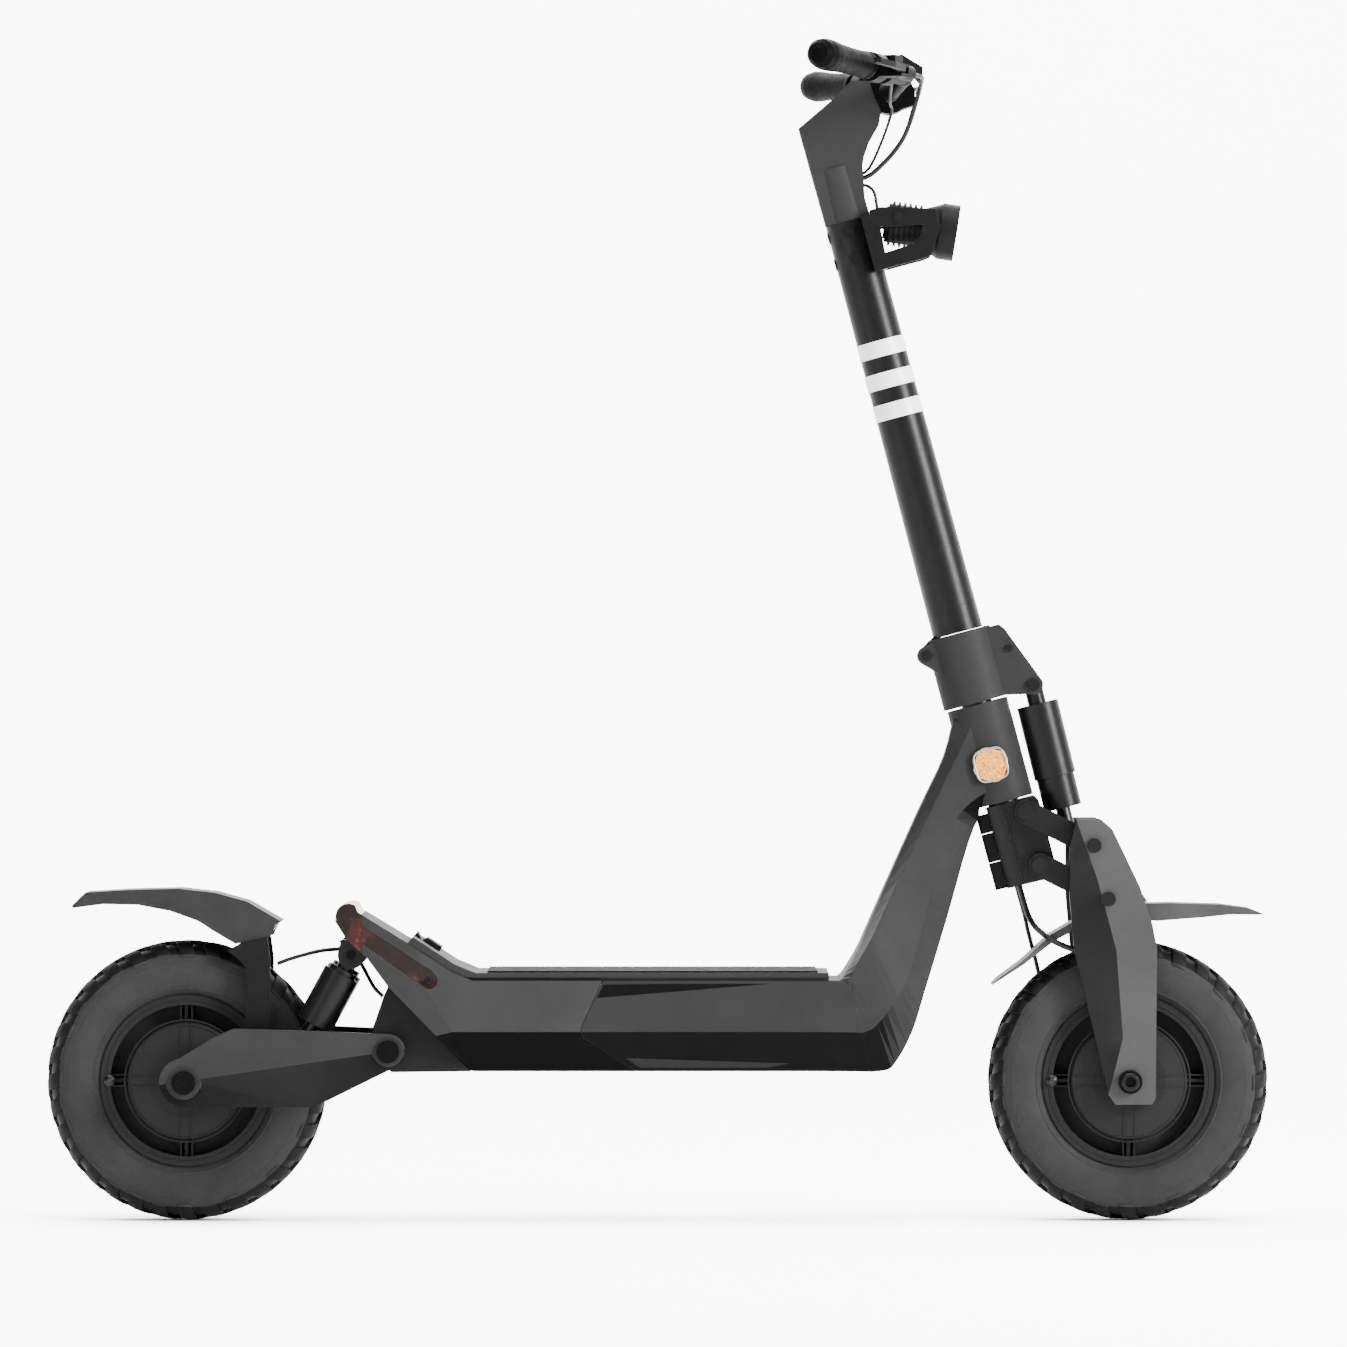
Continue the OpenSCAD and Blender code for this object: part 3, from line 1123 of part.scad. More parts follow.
module front_cables() {
  c = [crown_out[0], 0, crown_out[1]];
  color(c_rubber) {
    // brake hose to the caliper, and motor cable to the right leg
    tube([c + [-5.5, 4, -1.5], c + [-1, 4.5, -18], c + [4, 7, -36], c + [8, 24, -52], c + [13, 42, -70], c + [18, 49.5, -88],
          c + [24, 52, -112], c + [34, 53.5, -142], c + [46.7, 53, -170], c + [61, 53, -178.4]], 2.4);
    tube([c + [-2.8, -4, -0.8], c + [2, -4.5, -18], c + [7.4, -6, -35], c + [14, -16, -47], c + [21, -31, -54],
          c + [29, -46.2, -60], c + [42, -47.3, -67], c + [58, -47, -73], c + [66, -47.2, -75]], 3.2);
  }
}
module rear_cables() {
  s = [shock_top[0], 0, shock_top[1]];
  color(c_rubber) {
    tube([s + [0.8, -30.5, 9.9], s + [-12, -32, 6], s + [-34, -38, 4], s + [-62, -46, -3], s + [-82, -48, -10]], 2.2);
    tube([s + [6, -34, -4], s + [14, -40, -18], s + [24, -44, -36], s + [33.8, -45.6, -45.8]], 2.2);
  }
}

front_frame();
rear_shell();
pivot_bracket();
deck_cover();
deck_mat();
tail_lamp();
stem_catch();
shock_yoke();
battery_pack();
motor_controller();
side_reflectors();
headset_bearings();
swingarm_axle();
rear_cables();
fold_collar();
steerer_tube();
fork_crown();
crown_cover();
crown_bolts();
front_cables();
latch_lever();
stem_tube();
stem_stripes();
stem_head();
stem_bolts();
bar_clamp();
handlebar();
grips();
brake_perches();
display();
control_pods();
headlight_bracket();
control_cables();
right_brake_lever();
left_brake_lever();
throttle_paddle();
mode_button();
headlight_body();
headlight_lens();
upper_link();
lower_link();
front_fork();
fork_bolts();
front_axle();
front_fender();
front_caliper();
front_shock_can();
front_shock_rod();
tyre(front_x);  // front_tyre
hub(front_x);  // front_hub
swingarm();
rear_fender();
fender_stay();
rear_axle();
rear_caliper();
rear_shock_cans();
rear_shock_rods();
tyre(rear_x);  // rear_tyre
hub(rear_x);  // rear_hub
kickstand_leg();
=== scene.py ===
"""Electric kick scooter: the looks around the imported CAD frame."""
import json
import math

import bmesh
import bpy
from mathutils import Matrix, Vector
from mathutils.bvhtree import BVHTree


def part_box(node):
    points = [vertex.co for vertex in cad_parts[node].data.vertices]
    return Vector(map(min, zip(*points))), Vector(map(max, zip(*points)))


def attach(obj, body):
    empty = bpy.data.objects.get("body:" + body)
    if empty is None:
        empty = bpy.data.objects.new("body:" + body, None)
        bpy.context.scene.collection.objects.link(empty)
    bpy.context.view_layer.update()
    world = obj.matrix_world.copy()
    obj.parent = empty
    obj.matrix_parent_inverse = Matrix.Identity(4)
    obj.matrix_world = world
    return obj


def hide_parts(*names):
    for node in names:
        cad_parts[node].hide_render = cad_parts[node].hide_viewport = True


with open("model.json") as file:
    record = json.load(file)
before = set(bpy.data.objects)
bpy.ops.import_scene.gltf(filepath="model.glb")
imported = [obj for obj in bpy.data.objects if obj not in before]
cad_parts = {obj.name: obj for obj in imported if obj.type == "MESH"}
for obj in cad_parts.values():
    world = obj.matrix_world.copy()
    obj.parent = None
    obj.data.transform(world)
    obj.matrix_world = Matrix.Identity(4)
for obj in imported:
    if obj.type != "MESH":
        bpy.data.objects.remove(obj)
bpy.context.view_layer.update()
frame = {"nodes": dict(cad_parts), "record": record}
NODES = frame["nodes"]
SLOT = {s["node"]: s["material_slot"] for s in frame["record"]["subparts"]}
MM = 0.001

# ---------------------------------------------------------------- camera
CAM_AT = (0.0176, -11.5, 0.6006)
camera_data = bpy.data.cameras.new("camera")
camera_data.lens = 279.4
camera_data.sensor_width = 36
camera_data.clip_end = 60
camera = bpy.data.objects.new("camera", camera_data)
bpy.context.scene.collection.objects.link(camera)
camera.location = CAM_AT
camera.rotation_euler = (math.pi / 2, 0, 0)
bpy.context.scene.camera = camera


# ---------------------------------------------------------------- materials
class Shader:
    """One procedural material, built in the object's own metres."""

    def __init__(self, name, rough=0.5, metallic=0.0, **fixed):
        self.mat = bpy.data.materials.new(name)
        self.mat.use_nodes = True
        self.tree = self.mat.node_tree
        self.bsdf = next(n for n in self.tree.nodes if n.type == "BSDF_PRINCIPLED")
        self.where = self.node("ShaderNodeTexCoord").outputs["Object"]
        self.bsdf.inputs["Roughness"].default_value = rough
        self.bsdf.inputs["Metallic"].default_value = metallic
        for key, value in fixed.items():
            self.bsdf.inputs[key.replace("_", " ")].default_value = value
        self.normal = None

    def node(self, kind, **settings):
        made = self.tree.nodes.new(kind)
        for key, value in settings.items():
            setattr(made, key, value)
        return made

    def link(self, a, b):
        self.tree.links.new(a, b)

    def scaled(self, scale):
        made = self.node("ShaderNodeMapping")
        made.inputs["Scale"].default_value = scale
        self.link(self.where, made.inputs["Vector"])
        return made.outputs["Vector"]

    def noise(self, scale, detail=3.0, rough=0.55, stretch=None):
        made = self.node("ShaderNodeTexNoise")
        made.inputs["Scale"].default_value = scale
        made.inputs["Detail"].default_value = detail
        made.inputs["Roughness"].default_value = rough
        self.link(self.scaled(stretch) if stretch else self.where, made.inputs["Vector"])
        return made.outputs["Fac"]

    def cells(self, scale, feature="F1", out="Distance"):
        made = self.node("ShaderNodeTexVoronoi", feature=feature)
        made.inputs["Scale"].default_value = scale
        self.link(self.where, made.inputs["Vector"])
        return made.outputs[out]

    def wave(self, scale, axis):
        made = self.node("ShaderNodeTexWave", wave_type="BANDS", bands_direction=axis)
        made.inputs["Scale"].default_value = scale
        self.link(self.where, made.inputs["Vector"])
        return made.outputs["Fac"]

    def ramp(self, fac, low, high, a, b):
        """Maps fac from low..high to a..b."""
        made = self.node("ShaderNodeMapRange")
        self.link(fac, made.inputs["Value"])
        for key, value in (("From Min", low), ("From Max", high), ("To Min", a), ("To Max", b)):
            made.inputs[key].default_value = value
        return made.outputs["Result"]

    def math(self, op, a, b):
        made = self.node("ShaderNodeMath", operation=op)
        for socket, value in zip(made.inputs, (a, b)):
            if isinstance(value, (int, float)):
                socket.default_value = value
            else:
                self.link(value, socket)
        return made.outputs["Value"]

    def mix(self, fac, a, b):
        """Colour mix; a and b are colours or sockets."""
        made = self.node("ShaderNodeMix", data_type="RGBA")
        self.link(fac, made.inputs["Factor"])
        colour = [s for s in made.inputs if s.type == "RGBA"]
        for socket, value in zip(colour, (a, b)):
            if isinstance(value, tuple):
                socket.default_value = (*value, 1)
            else:
                self.link(value, socket)
        return next(s for s in made.outputs if s.type == "RGBA")

    def bump(self, height, strength, distance):
        made = self.node("ShaderNodeBump")
        made.inputs["Strength"].default_value = strength
        made.inputs["Distance"].default_value = distance
        self.link(height, made.inputs["Height"])
        if self.normal is not None:
            self.link(self.normal, made.inputs["Normal"])
        self.normal = made.outputs["Normal"]

    def soft_edges(self, radius):
        """Rounds the light on edges; returns how much of an edge a point is on."""
        made = self.node("ShaderNodeBevel", samples=4)
        made.inputs["Radius"].default_value = radius
        self.normal = made.outputs["Normal"]
        dot = self.node("ShaderNodeVectorMath", operation="DOT_PRODUCT")
        self.link(made.outputs["Normal"], dot.inputs[0])
        self.link(self.node("ShaderNodeNewGeometry").outputs["Normal"], dot.inputs[1])
        return self.ramp(dot.outputs["Value"], 0.985, 0.80, 0.0, 1.0)

    def painted_shade_mask(self, toward):
        """Mask for painted shade: 0 on faces that look toward the given way in the object's own frame, 1 on
        the others.
        """
        dot = self.node("ShaderNodeVectorMath", operation="DOT_PRODUCT")
        self.link(self.node("ShaderNodeTexCoord").outputs["Normal"], dot.inputs[0])
        dot.inputs[1].default_value = toward
        return self.ramp(dot.outputs["Value"], 0.2, 0.3, 1.0, 0.0)

    def colour(self, socket):
        self.link(socket, self.bsdf.inputs["Base Color"])

    def rough(self, socket):
        self.link(socket, self.bsdf.inputs["Roughness"])

    def done(self):
        if self.normal is not None:
            self.link(self.normal, self.bsdf.inputs["Normal"])
        return self.mat


def grey(v, tint=0.0):
    return (v, v, v * (1 + tint))


def powder_coat(name, base, rough, grain=0.25, worn=1.6, edge=1.0 * MM, gloss=0.3,
                painted_shade_share=0.5, shade=(0, 0, -1)):
    """Painted metal: fine orange peel, faint clouding, edges rubbed a little lighter.

    Faces that look toward shade (the underside by default) are painted darker, down to the given share of
    the base tone: a painted shade."""
    s = Shader(name, rough, Specular_IOR_Level=gloss)
    on_edge = s.soft_edges(edge)
    cloud = s.noise(9, 3)
    tone = s.mix(s.ramp(cloud, 0.35, 0.65, 0, 1), grey(base * 0.9, 0.02), grey(base * 1.08, 0.02))
    scuff = s.math("MULTIPLY", on_edge, s.ramp(s.noise(160, 4), 0.42, 0.7, 0.15, 0.75))
    # painted shade: faces turned toward shade take the darker tone
    tone = s.mix(s.painted_shade_mask(shade), grey(base * painted_shade_share), tone)
    s.colour(s.mix(scuff, tone, grey(base * worn)))
    s.rough(s.ramp(s.noise(420, 2), 0.3, 0.7, rough - 0.05, rough + 0.06))
    s.bump(s.noise(1500, 2), grain, 0.12 * MM)
    return s.done()


def moulded(name, base, rough, grain_scale=1100, grain=0.35):
    """Moulded plastic with a spark-eroded grain."""
    s = Shader(name, rough, Specular_IOR_Level=0.08)
    on_edge = s.soft_edges(0.5 * MM)
    tone = s.mix(s.ramp(s.noise(25, 3), 0.35, 0.65, 0, 1), grey(base * 0.88), grey(base * 1.12, 0.03))
    s.colour(s.mix(s.math("MULTIPLY", on_edge, 0.3), tone, grey(base * 2.0)))
    s.rough(s.ramp(s.noise(300, 2), 0.3, 0.7, rough - 0.06, rough + 0.06))
    s.bump(s.cells(grain_scale), grain, 0.1 * MM)
    return s.done()


def rubber(name, base, rough, grain=0.4, dust=0.35, sheen=0.02, gloss=0.08):
    """Rubber: fine pitted skin, with pale bloom in broad patches."""
    s = Shader(name, rough, Specular_IOR_Level=gloss, Sheen_Weight=sheen, Sheen_Roughness=0.5)
    on_edge = s.soft_edges(0.6 * MM)
    bloom = s.ramp(s.noise(14, 5, 0.65), 0.42, 0.72, 0.0, dust)
    tone = s.mix(bloom, grey(base), grey(base * 1.9))
    s.colour(s.mix(s.math("MULTIPLY", on_edge, 0.25), tone, grey(base * 2.2)))
    s.rough(s.ramp(s.noise(200, 3), 0.3, 0.7, rough - 0.07, rough + 0.07))
    s.bump(s.noise(900, 3), grain, 0.2 * MM)
    return s.done()


def brushed(name, base, rough, stretch):
    """Machined metal: fine lines along one way."""
    s = Shader(name, rough, 1.0)
    s.soft_edges(0.4 * MM)
    lines = s.noise(60, 4, 0.6, stretch)
    s.colour(s.mix(s.ramp(lines, 0.3, 0.7, 0, 1), grey(base * 0.8), grey(base * 1.1)))
    s.rough(s.ramp(lines, 0.3, 0.7, rough - 0.08, rough + 0.1))
    s.bump(lines, 0.15, 0.05 * MM)
    return s.done()


def film(name):
    """Retro-reflective tape: tiny beads under a clear face."""
    s = Shader(name, 0.38, Coat_Weight=0.25, Coat_Roughness=0.2)
    beads = s.cells(1400)
    s.colour(s.mix(s.ramp(beads, 0.1, 0.7, 0, 1), (0.86, 0.87, 0.88), (0.70, 0.71, 0.72)))
    s.rough(s.ramp(s.noise(90, 3), 0.3, 0.7, 0.3, 0.48))
    s.bump(beads, 0.2, 0.05 * MM)
    return s.done()


def prism_reflector(name, bright, dark, cell, painted_glow):
    """Corner-cube reflector: rows of small prisms under a clear face, with a faint painted glow in the
    prisms' colour.
    """
    s = Shader(name, 0.18, Coat_Weight=0.25, Coat_Roughness=0.08, Specular_IOR_Level=0.3)
    centre = s.cells(cell)
    edge = s.cells(cell, "DISTANCE_TO_EDGE")
    facet = s.cells(cell, out="Color")
    gray = s.node("ShaderNodeRGBToBW")
    s.link(facet, gray.inputs["Color"])
    body = s.mix(gray.outputs["Val"], dark, bright)
    line = s.ramp(edge, 0.0, 0.09, 1.0, 0.0)
    s.colour(s.mix(line, body, tuple(min(1.0, c * 1.2 + 0.12) for c in bright)))
    # painted glow: the reflector's own colour is sent out as light
    s.link(body, s.bsdf.inputs["Emission Color"])
    s.bsdf.inputs["Emission Strength"].default_value = painted_glow
    s.bump(centre, 0.5, 0.4 * MM)
    return s.done()


def smoked_lamp(name):
    """Tail lamp: smoky red cover over rows of light cells."""
    s = Shader(name, 0.2, Coat_Weight=0.08, Coat_Roughness=0.25, Specular_IOR_Level=0.15)
    cell = s.cells(150)
    patches = s.ramp(s.noise(26, 3), 0.5, 0.68, 0.0, 1.0)
    glow = s.math("MULTIPLY", patches, s.ramp(cell, 0.15, 0.5, 1.0, 0.3))
    s.colour(s.mix(glow, (0.010, 0.005, 0.005), (0.10, 0.018, 0.016)))
    s.rough(s.ramp(s.noise(60, 3), 0.3, 0.7, 0.08, 0.2))
    s.bump(cell, 0.15, 0.3 * MM)
    return s.done()


def clear_lens(name):
    """Headlight lens: clear, with fine optical ribs behind its face."""
    s = Shader(name, 0.06, Transmission_Weight=0.85, IOR=1.49)
    ribs = s.wave(70, "Y")
    s.colour(s.mix(s.ramp(ribs, 0.2, 0.8, 0, 1), (0.86, 0.89, 0.92), (0.97, 0.98, 1.0)))
    s.rough(s.ramp(s.noise(120, 3), 0.3, 0.7, 0.03, 0.12))
    s.bump(ribs, 0.35, 0.3 * MM)
    return s.done()


def mat_pattern(name):
    """Deck mat: rubber with small raised pips in staggered rows."""
    s = Shader(name, 0.8, Specular_IOR_Level=0.1)
    on_edge = s.soft_edges(0.5 * MM)
    a = s.wave(42, "DIAGONAL")
    b = s.wave(42, "Y")
    pips = s.math("MULTIPLY", a, b)
    tone = s.mix(s.ramp(s.noise(18, 4), 0.35, 0.7, 0, 1), grey(0.004), grey(0.007))
    s.colour(s.mix(s.math("MULTIPLY", on_edge, 0.3), tone, grey(0.05)))
    s.rough(s.ramp(pips, 0.2, 0.8, 0.85, 0.66))
    s.bump(pips, 0.7, 1.2 * MM)
    s.bump(s.noise(900, 2), 0.3, 0.15 * MM)
    return s.done()


def cable_skin(name):
    """Cable jacket: smooth rubber with a faint twist showing through."""
    s = Shader(name, 0.42, Specular_IOR_Level=0.2)
    twist = s.noise(220, 2, 0.5, (1, 1, 0.35))
    s.colour(s.mix(s.ramp(twist, 0.3, 0.7, 0, 1), grey(0.002), grey(0.004)))
    s.rough(s.ramp(s.noise(80, 2), 0.3, 0.7, 0.36, 0.5))
    s.bump(twist, 0.2, 0.15 * MM)
    return s.done()


def shrink_wrap(name):
    """Battery sleeve: glossy film with shrink wrinkles."""
    s = Shader(name, 0.3, Coat_Weight=0.4, Coat_Roughness=0.15)
    wrinkle = s.noise(40, 5, 0.6, (1, 3, 1))
    s.colour(s.mix(s.ramp(wrinkle, 0.35, 0.65, 0, 1), (0.02, 0.07, 0.2), (0.03, 0.1, 0.27)))
    s.bump(wrinkle, 0.5, 0.6 * MM)
    return s.done()


FINISH = {
    "frame_grey": powder_coat("frame_grey", 0.017, 0.5, gloss=0.04, painted_shade_share=0.05),
    "black_metal": powder_coat("black_metal", 0.003, 0.36, grain=0.06, worn=2.4, edge=0.7 * MM, gloss=0.14),
    "bolt_black": powder_coat("bolt_black", 0.003, 0.32, grain=0.1, worn=3.0, edge=0.3 * MM, gloss=0.15),
    "steel": brushed("steel", 0.03, 0.36, (1, 6, 1)),
    "alloy": brushed("alloy", 0.3, 0.32, (1, 1, 6)),
    "tyre": rubber("tyre", 0.015, 0.7, grain=0.35),
    "grip_rubber": rubber("grip_rubber", 0.0015, 0.5, grain=0.1, dust=0.1, sheen=0.0, gloss=0.015),
    "mat_rubber": mat_pattern("mat_rubber"),
    "black_plastic": moulded("black_plastic", 0.004, 0.5),
    "white_film": film("white_film"),
    "amber": prism_reflector("amber", (0.62, 0.24, 0.012), (0.36, 0.11, 0.004), 300, 0.02),
    "lamp_smoke": smoked_lamp("lamp_smoke"),
    "lens": clear_lens("lens"),
    "battery": shrink_wrap("battery"),
    "cable": cable_skin("cable"),
    "red_plastic": moulded("red_plastic", 0.05, 0.3),
}
# pieces given a lighter or darker tone than their slot's; the powder-coat ones also set their own painted
# shade
OWN_FINISH = {
    "front_hub": powder_coat("hub_paint", 0.012, 0.55, gloss=0.04, painted_shade_share=1.0),
    "front_fender": moulded("fender_plastic", 0.034, 0.5),
    # painted shade: the fork legs' rear-facing faces are darkened
    "front_fork": powder_coat("fork_paint", 0.036, 0.5, gloss=0.04, painted_shade_share=0.04, shade=(-0.75, 0, 0)),
    # painted shade: the swingarm's undersides are darkened
    "swingarm": powder_coat("arm_paint", 0.020, 0.5, gloss=0.03, painted_shade_share=0.01, shade=(0, 0, -1.05)),
    "pivot_bracket": powder_coat("bracket_paint", 0.007, 0.5, gloss=0.06, painted_shade_share=0.3),
    "front_axle": brushed("black_oxide", 0.006, 0.4, (1, 6, 1)),
    # painted shade: the tread band in a darker rubber than the sidewall
    "tread": rubber("tread_painted_shade_rubber", 0.0035, 0.6, grain=0.3, dust=0.15, sheen=0.0),
    "rear_shell": powder_coat("shell_paint", 0.023, 0.5, gloss=0.03, painted_shade_share=0.03),
    "right_brake_lever": powder_coat("lever_paint", 0.002, 0.4, grain=0.05, gloss=0.03, painted_shade_share=0.5),
    "rear_fender": moulded("rear_fender_plastic", 0.016, 0.5),
}
OWN_FINISH["rear_hub"] = OWN_FINISH["front_hub"]
for near_bar in ("left_brake_lever", "brake_perches", "handlebar", "bar_clamp"):
    OWN_FINISH[near_bar] = OWN_FINISH["right_brake_lever"]
for axle in ("rear_axle", "swingarm_axle"):
    OWN_FINISH[axle] = OWN_FINISH["front_axle"]
for node_name, piece in NODES.items():
    slots = piece.data.materials
    finish = OWN_FINISH.get(node_name, FINISH[SLOT[node_name]])
    if len(slots) == 0:
        slots.append(finish)
    for i in range(len(slots)):
        slots[i] = finish


# ---------------------------------------------------------------- mesh helpers
def piece_from(bm, name, body, slot, sharp=35):
    """Turns a bmesh into a piece that rides on a body; edges over sharp degrees stay sharp."""
    bmesh.ops.recalc_face_normals(bm, faces=bm.faces)
    limit = math.radians(sharp)
    for f in bm.faces:
        f.smooth = True
    for e in bm.edges:
        e.smooth = len(e.link_faces) == 2 and e.calc_face_angle(0) < limit
    mesh = bpy.data.meshes.new(name)
    bm.to_mesh(mesh)
    bm.free()
    made = bpy.data.objects.new(name, mesh)
    bpy.context.scene.collection.objects.link(made)
    mesh.materials.append(FINISH[slot])
    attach(made, body)
    return made


def spline(points, steps):
    """A smooth line through the points (Catmull-Rom)."""
    p = [points[0]] + list(points) + [points[-1]]
    out = []
    for i in range(1, len(p) - 2):
        for k in range(steps):
            t = k / steps
            out.append(tuple(
                0.5 * (2 * b + (c - a) * t + (2 * a - 5 * b + 4 * c - d) * t * t
                       + (3 * b - a - 3 * c + d) * t ** 3)
                for a, b, c, d in zip(p[i - 1], p[i], p[i + 1], p[i + 2])))
    out.append(points[-1])
    return out


def revolve(bm, profile, centre, segments):
    """Revolves a closed outline of (radius, y) points about the Y axis through centre."""
    rings = []
    for i in range(segments):
        a = 2 * math.pi * i / segments
        rings.append([bm.verts.new((centre.x + r * math.cos(a), centre.y + y, centre.z + r * math.sin(a)))
                      for r, y in profile])
    n = len(profile)
    for i in range(segments):
        a, b = rings[i], rings[(i + 1) % segments]
        for k in range(n):
            m = (k + 1) % n
            bm.faces.new((a[k], a[m], b[m], b[k]))


def round_outline(r, y, half_r, half_y, side):
    """An eight-point oval outline for revolve, round the point (r, y) in mm."""
    turns = [2 * math.pi * k / 8 for k in range(8)]
    return [((r + half_r * math.cos(t)) * MM, side * (y + half_y * math.sin(t)) * MM) for t in turns]


def grid_block(bm, top, base):
    """A block from a grid of top points and the matching grid of base points."""
    rows, cols = len(top), len(top[0])
    t = [[bm.verts.new(p) for p in row] for row in top]
    b = [[bm.verts.new(p) for p in row] for row in base]
    for i in range(rows - 1):
        for k in range(cols - 1):
            bm.faces.new((t[i][k], t[i][k + 1], t[i + 1][k + 1], t[i + 1][k]))
            bm.faces.new((b[i][k], b[i + 1][k], b[i + 1][k + 1], b[i][k + 1]))
    for k in range(cols - 1):
        bm.faces.new((t[0][k], b[0][k], b[0][k + 1], t[0][k + 1]))
        bm.faces.new((t[-1][k], t[-1][k + 1], b[-1][k + 1], b[-1][k]))
    for i in range(rows - 1):
        bm.faces.new((t[i][0], t[i + 1][0], b[i + 1][0], b[i][0]))
        bm.faces.new((t[i][-1], b[i][-1], b[i + 1][-1], t[i + 1][-1]))


# ---------------------------------------------------------------- folded faces
def folded(node, name, body, fold, slope, side, reach):
    """A CAD piece with its outer faces folded along a line.

    fold is the line's points (x, z) in mm; the face falls inward by slope for every
    millimetre on the given side of it (+1 is to the left going along it, -1 to the right),
    on parts of the piece that are further than reach mm from the middle plane."""
    weld = 0.002 * MM
    ease = 4 * MM
    bm = bmesh.new()
    bm.from_mesh(NODES[node].data)
    bmesh.ops.remove_doubles(bm, verts=bm.verts, dist=weld)
    line = [Vector((x * MM, z * MM)) for x, z in fold]
    for a, b in zip(line, line[1:]):
        d = (b - a).normalized()
        bmesh.ops.bisect_plane(bm, geom=bm.verts[:] + bm.edges[:] + bm.faces[:], dist=0.001 * MM,
                               plane_co=(a.x, 0, a.y), plane_no=(-d.y, 0, d.x))
    for v in bm.verts:
        depth = abs(v.co.y) - reach * MM
        if depth <= 0:
            continue
        q = Vector((v.co.x, v.co.z))
        far = None
        for a, b in zip(line, line[1:]):
            d = (b - a).normalized()
            off = side * (d.x * (q.y - a.y) - d.y * (q.x - a.x))
            far = off if far is None else min(far, off)
        if far > 0:
            room = min(1.0, depth / ease)
            v.co.y -= math.copysign(min(slope * far, depth) * room, v.co.y)
    made = piece_from(bm, name, body, SLOT[node], 12)
    made.data.materials[0] = OWN_FINISH[node]
    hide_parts(node)
    return made


ARM_FOLD = [(-560, 149.3), (-250, 194.3)]
LEG_FOLD = [(461, 450), (465, 435), (476, 397), (484.5, 365), (494, 338), (501, 305), (509.5, 196),
            (496, 150), (488, 118)]
folded("swingarm", "swingarm_folded", "rear_arm", ARM_FOLD, 0.28, -1, 84.2)
folded("front_fork", "fork_legs_folded", "fork", LEG_FOLD, 0.42, -1, 51.2)


# ---------------------------------------------------------------- small fittings
def turned(name, body, slot, at, profile, side):
    """A small turned piece on the side of a body; profile is (radius, distance outward from at) in mm."""
    axis_r = 0.01
    weld = 0.015 * MM
    bm = bmesh.new()
    outline = [(max(r, axis_r) * MM, side * y * MM) for r, y in profile]
    revolve(bm, outline, Vector(at) * MM, 48)
    bmesh.ops.remove_doubles(bm, verts=bm.verts, dist=weld)
    return piece_from(bm, name, body, slot, 30)


def socket_screw(name, body, at, r, side):
    """Socket-head screw, its head standing about r/2 out of the surface."""
    h = 0.55 * r
    turned(name, body, "bolt_black", at, [(0, -1), (r, -1), (r, h - 0.3 * r), (r * 0.86, h), (r * 0.55, h),
                                          (r * 0.5, h - 0.1 * r), (r * 0.5, -0.2), (0, -0.2)], side)


SIDES = ((-1, "right"), (1, "left"))
for side, tag in SIDES:
    socket_screw(f"lamp_screw_{tag}", "frame", (-249, side * 104.4, 266), 3.6, side)
    turned(f"rear_axle_boss_{tag}", "rear_arm", "frame_grey", (-517, side * 84.5, 154),
           [(9, 0), (20, 0), (20, 10), (18.6, 11.6), (9, 11.6)], side)
    turned(f"pivot_boss_{tag}", "rear_arm", "frame_grey", (-294, side * 84.5, 188),
           [(11, 0), (18, 0), (18, 10.2), (16.8, 11.6), (11, 11.6)], side)


RAKE = math.radians(15)


def bezel(name, body, slot, centre, half, side, tube, power):
    """A rounded-square ring round a reflector, leaning with the head tube; a higher power is squarer."""
    bm = bmesh.new()
    rings = []
    n, m = 72, 8
    for i in range(n):
        a = 2 * math.pi * i / n
        ca, sa = math.cos(a), math.sin(a)
        r = half * (abs(ca) ** power + abs(sa) ** power) ** (-1 / power)
        ring = []
        for k in range(m):
            b = 2 * math.pi * k / m
            q = r + tube * math.cos(b)
            u, w = q * ca, q * sa
            ring.append(bm.verts.new(((centre[0] + u * math.cos(RAKE) - w * math.sin(RAKE)) * MM,
                                      side * (centre[1] + tube * math.sin(b)) * MM,
                                      (centre[2] + w * math.cos(RAKE) + u * math.sin(RAKE)) * MM)))
        rings.append(ring)
    for i in range(n):
        a, b = rings[i], rings[(i + 1) % n]
        for k in range(m):
            bm.faces.new((a[k], a[(k + 1) % m], b[(k + 1) % m], b[k]))
    piece_from(bm, name, body, slot, 60)


lo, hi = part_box("side_reflectors")
mid = (lo + hi) / 2 / MM
for side, tag in SIDES:
    seat = (mid.x, hi.y / MM - 0.6, mid.z)
    bezel(f"reflector_bezel_{tag}", "frame", "alloy", seat, 17.4, side, tube=1.4, power=3.8)


def inlay(name, body, node, slot, finish, corners, side, lift=0.25, columns=60, rows=8):
    """A thin facet laid on a CAD piece's side, following its surface; corners are (x, z) in mm."""
    sunk = 0.5
    start_y = 0.3
    source = NODES[node]
    tree = BVHTree.FromPolygons([v.co[:] for v in source.data.vertices],
                                [tuple(q.vertices) for q in source.data.polygons])
    a, b, c, d = (Vector(p) * MM for p in corners)
    top, base = [], []
    for i in range(columns + 1):
        u = i / columns
        line = [a.lerp(d, u).lerp(b.lerp(c, u), k / rows) for k in range(rows + 1)]
        hits = [tree.ray_cast(Vector((q.x, side * start_y, q.y)), Vector((0, -side, 0)))[0] for q in line]
        top.append([h + Vector((0, side * lift * MM, 0)) for h in hits])
        base.append([h - Vector((0, side * sunk * MM, 0)) for h in hits])
    bm = bmesh.new()
    grid_block(bm, top, base)
    piece_from(bm, name, body, slot, 20).data.materials[0] = finish


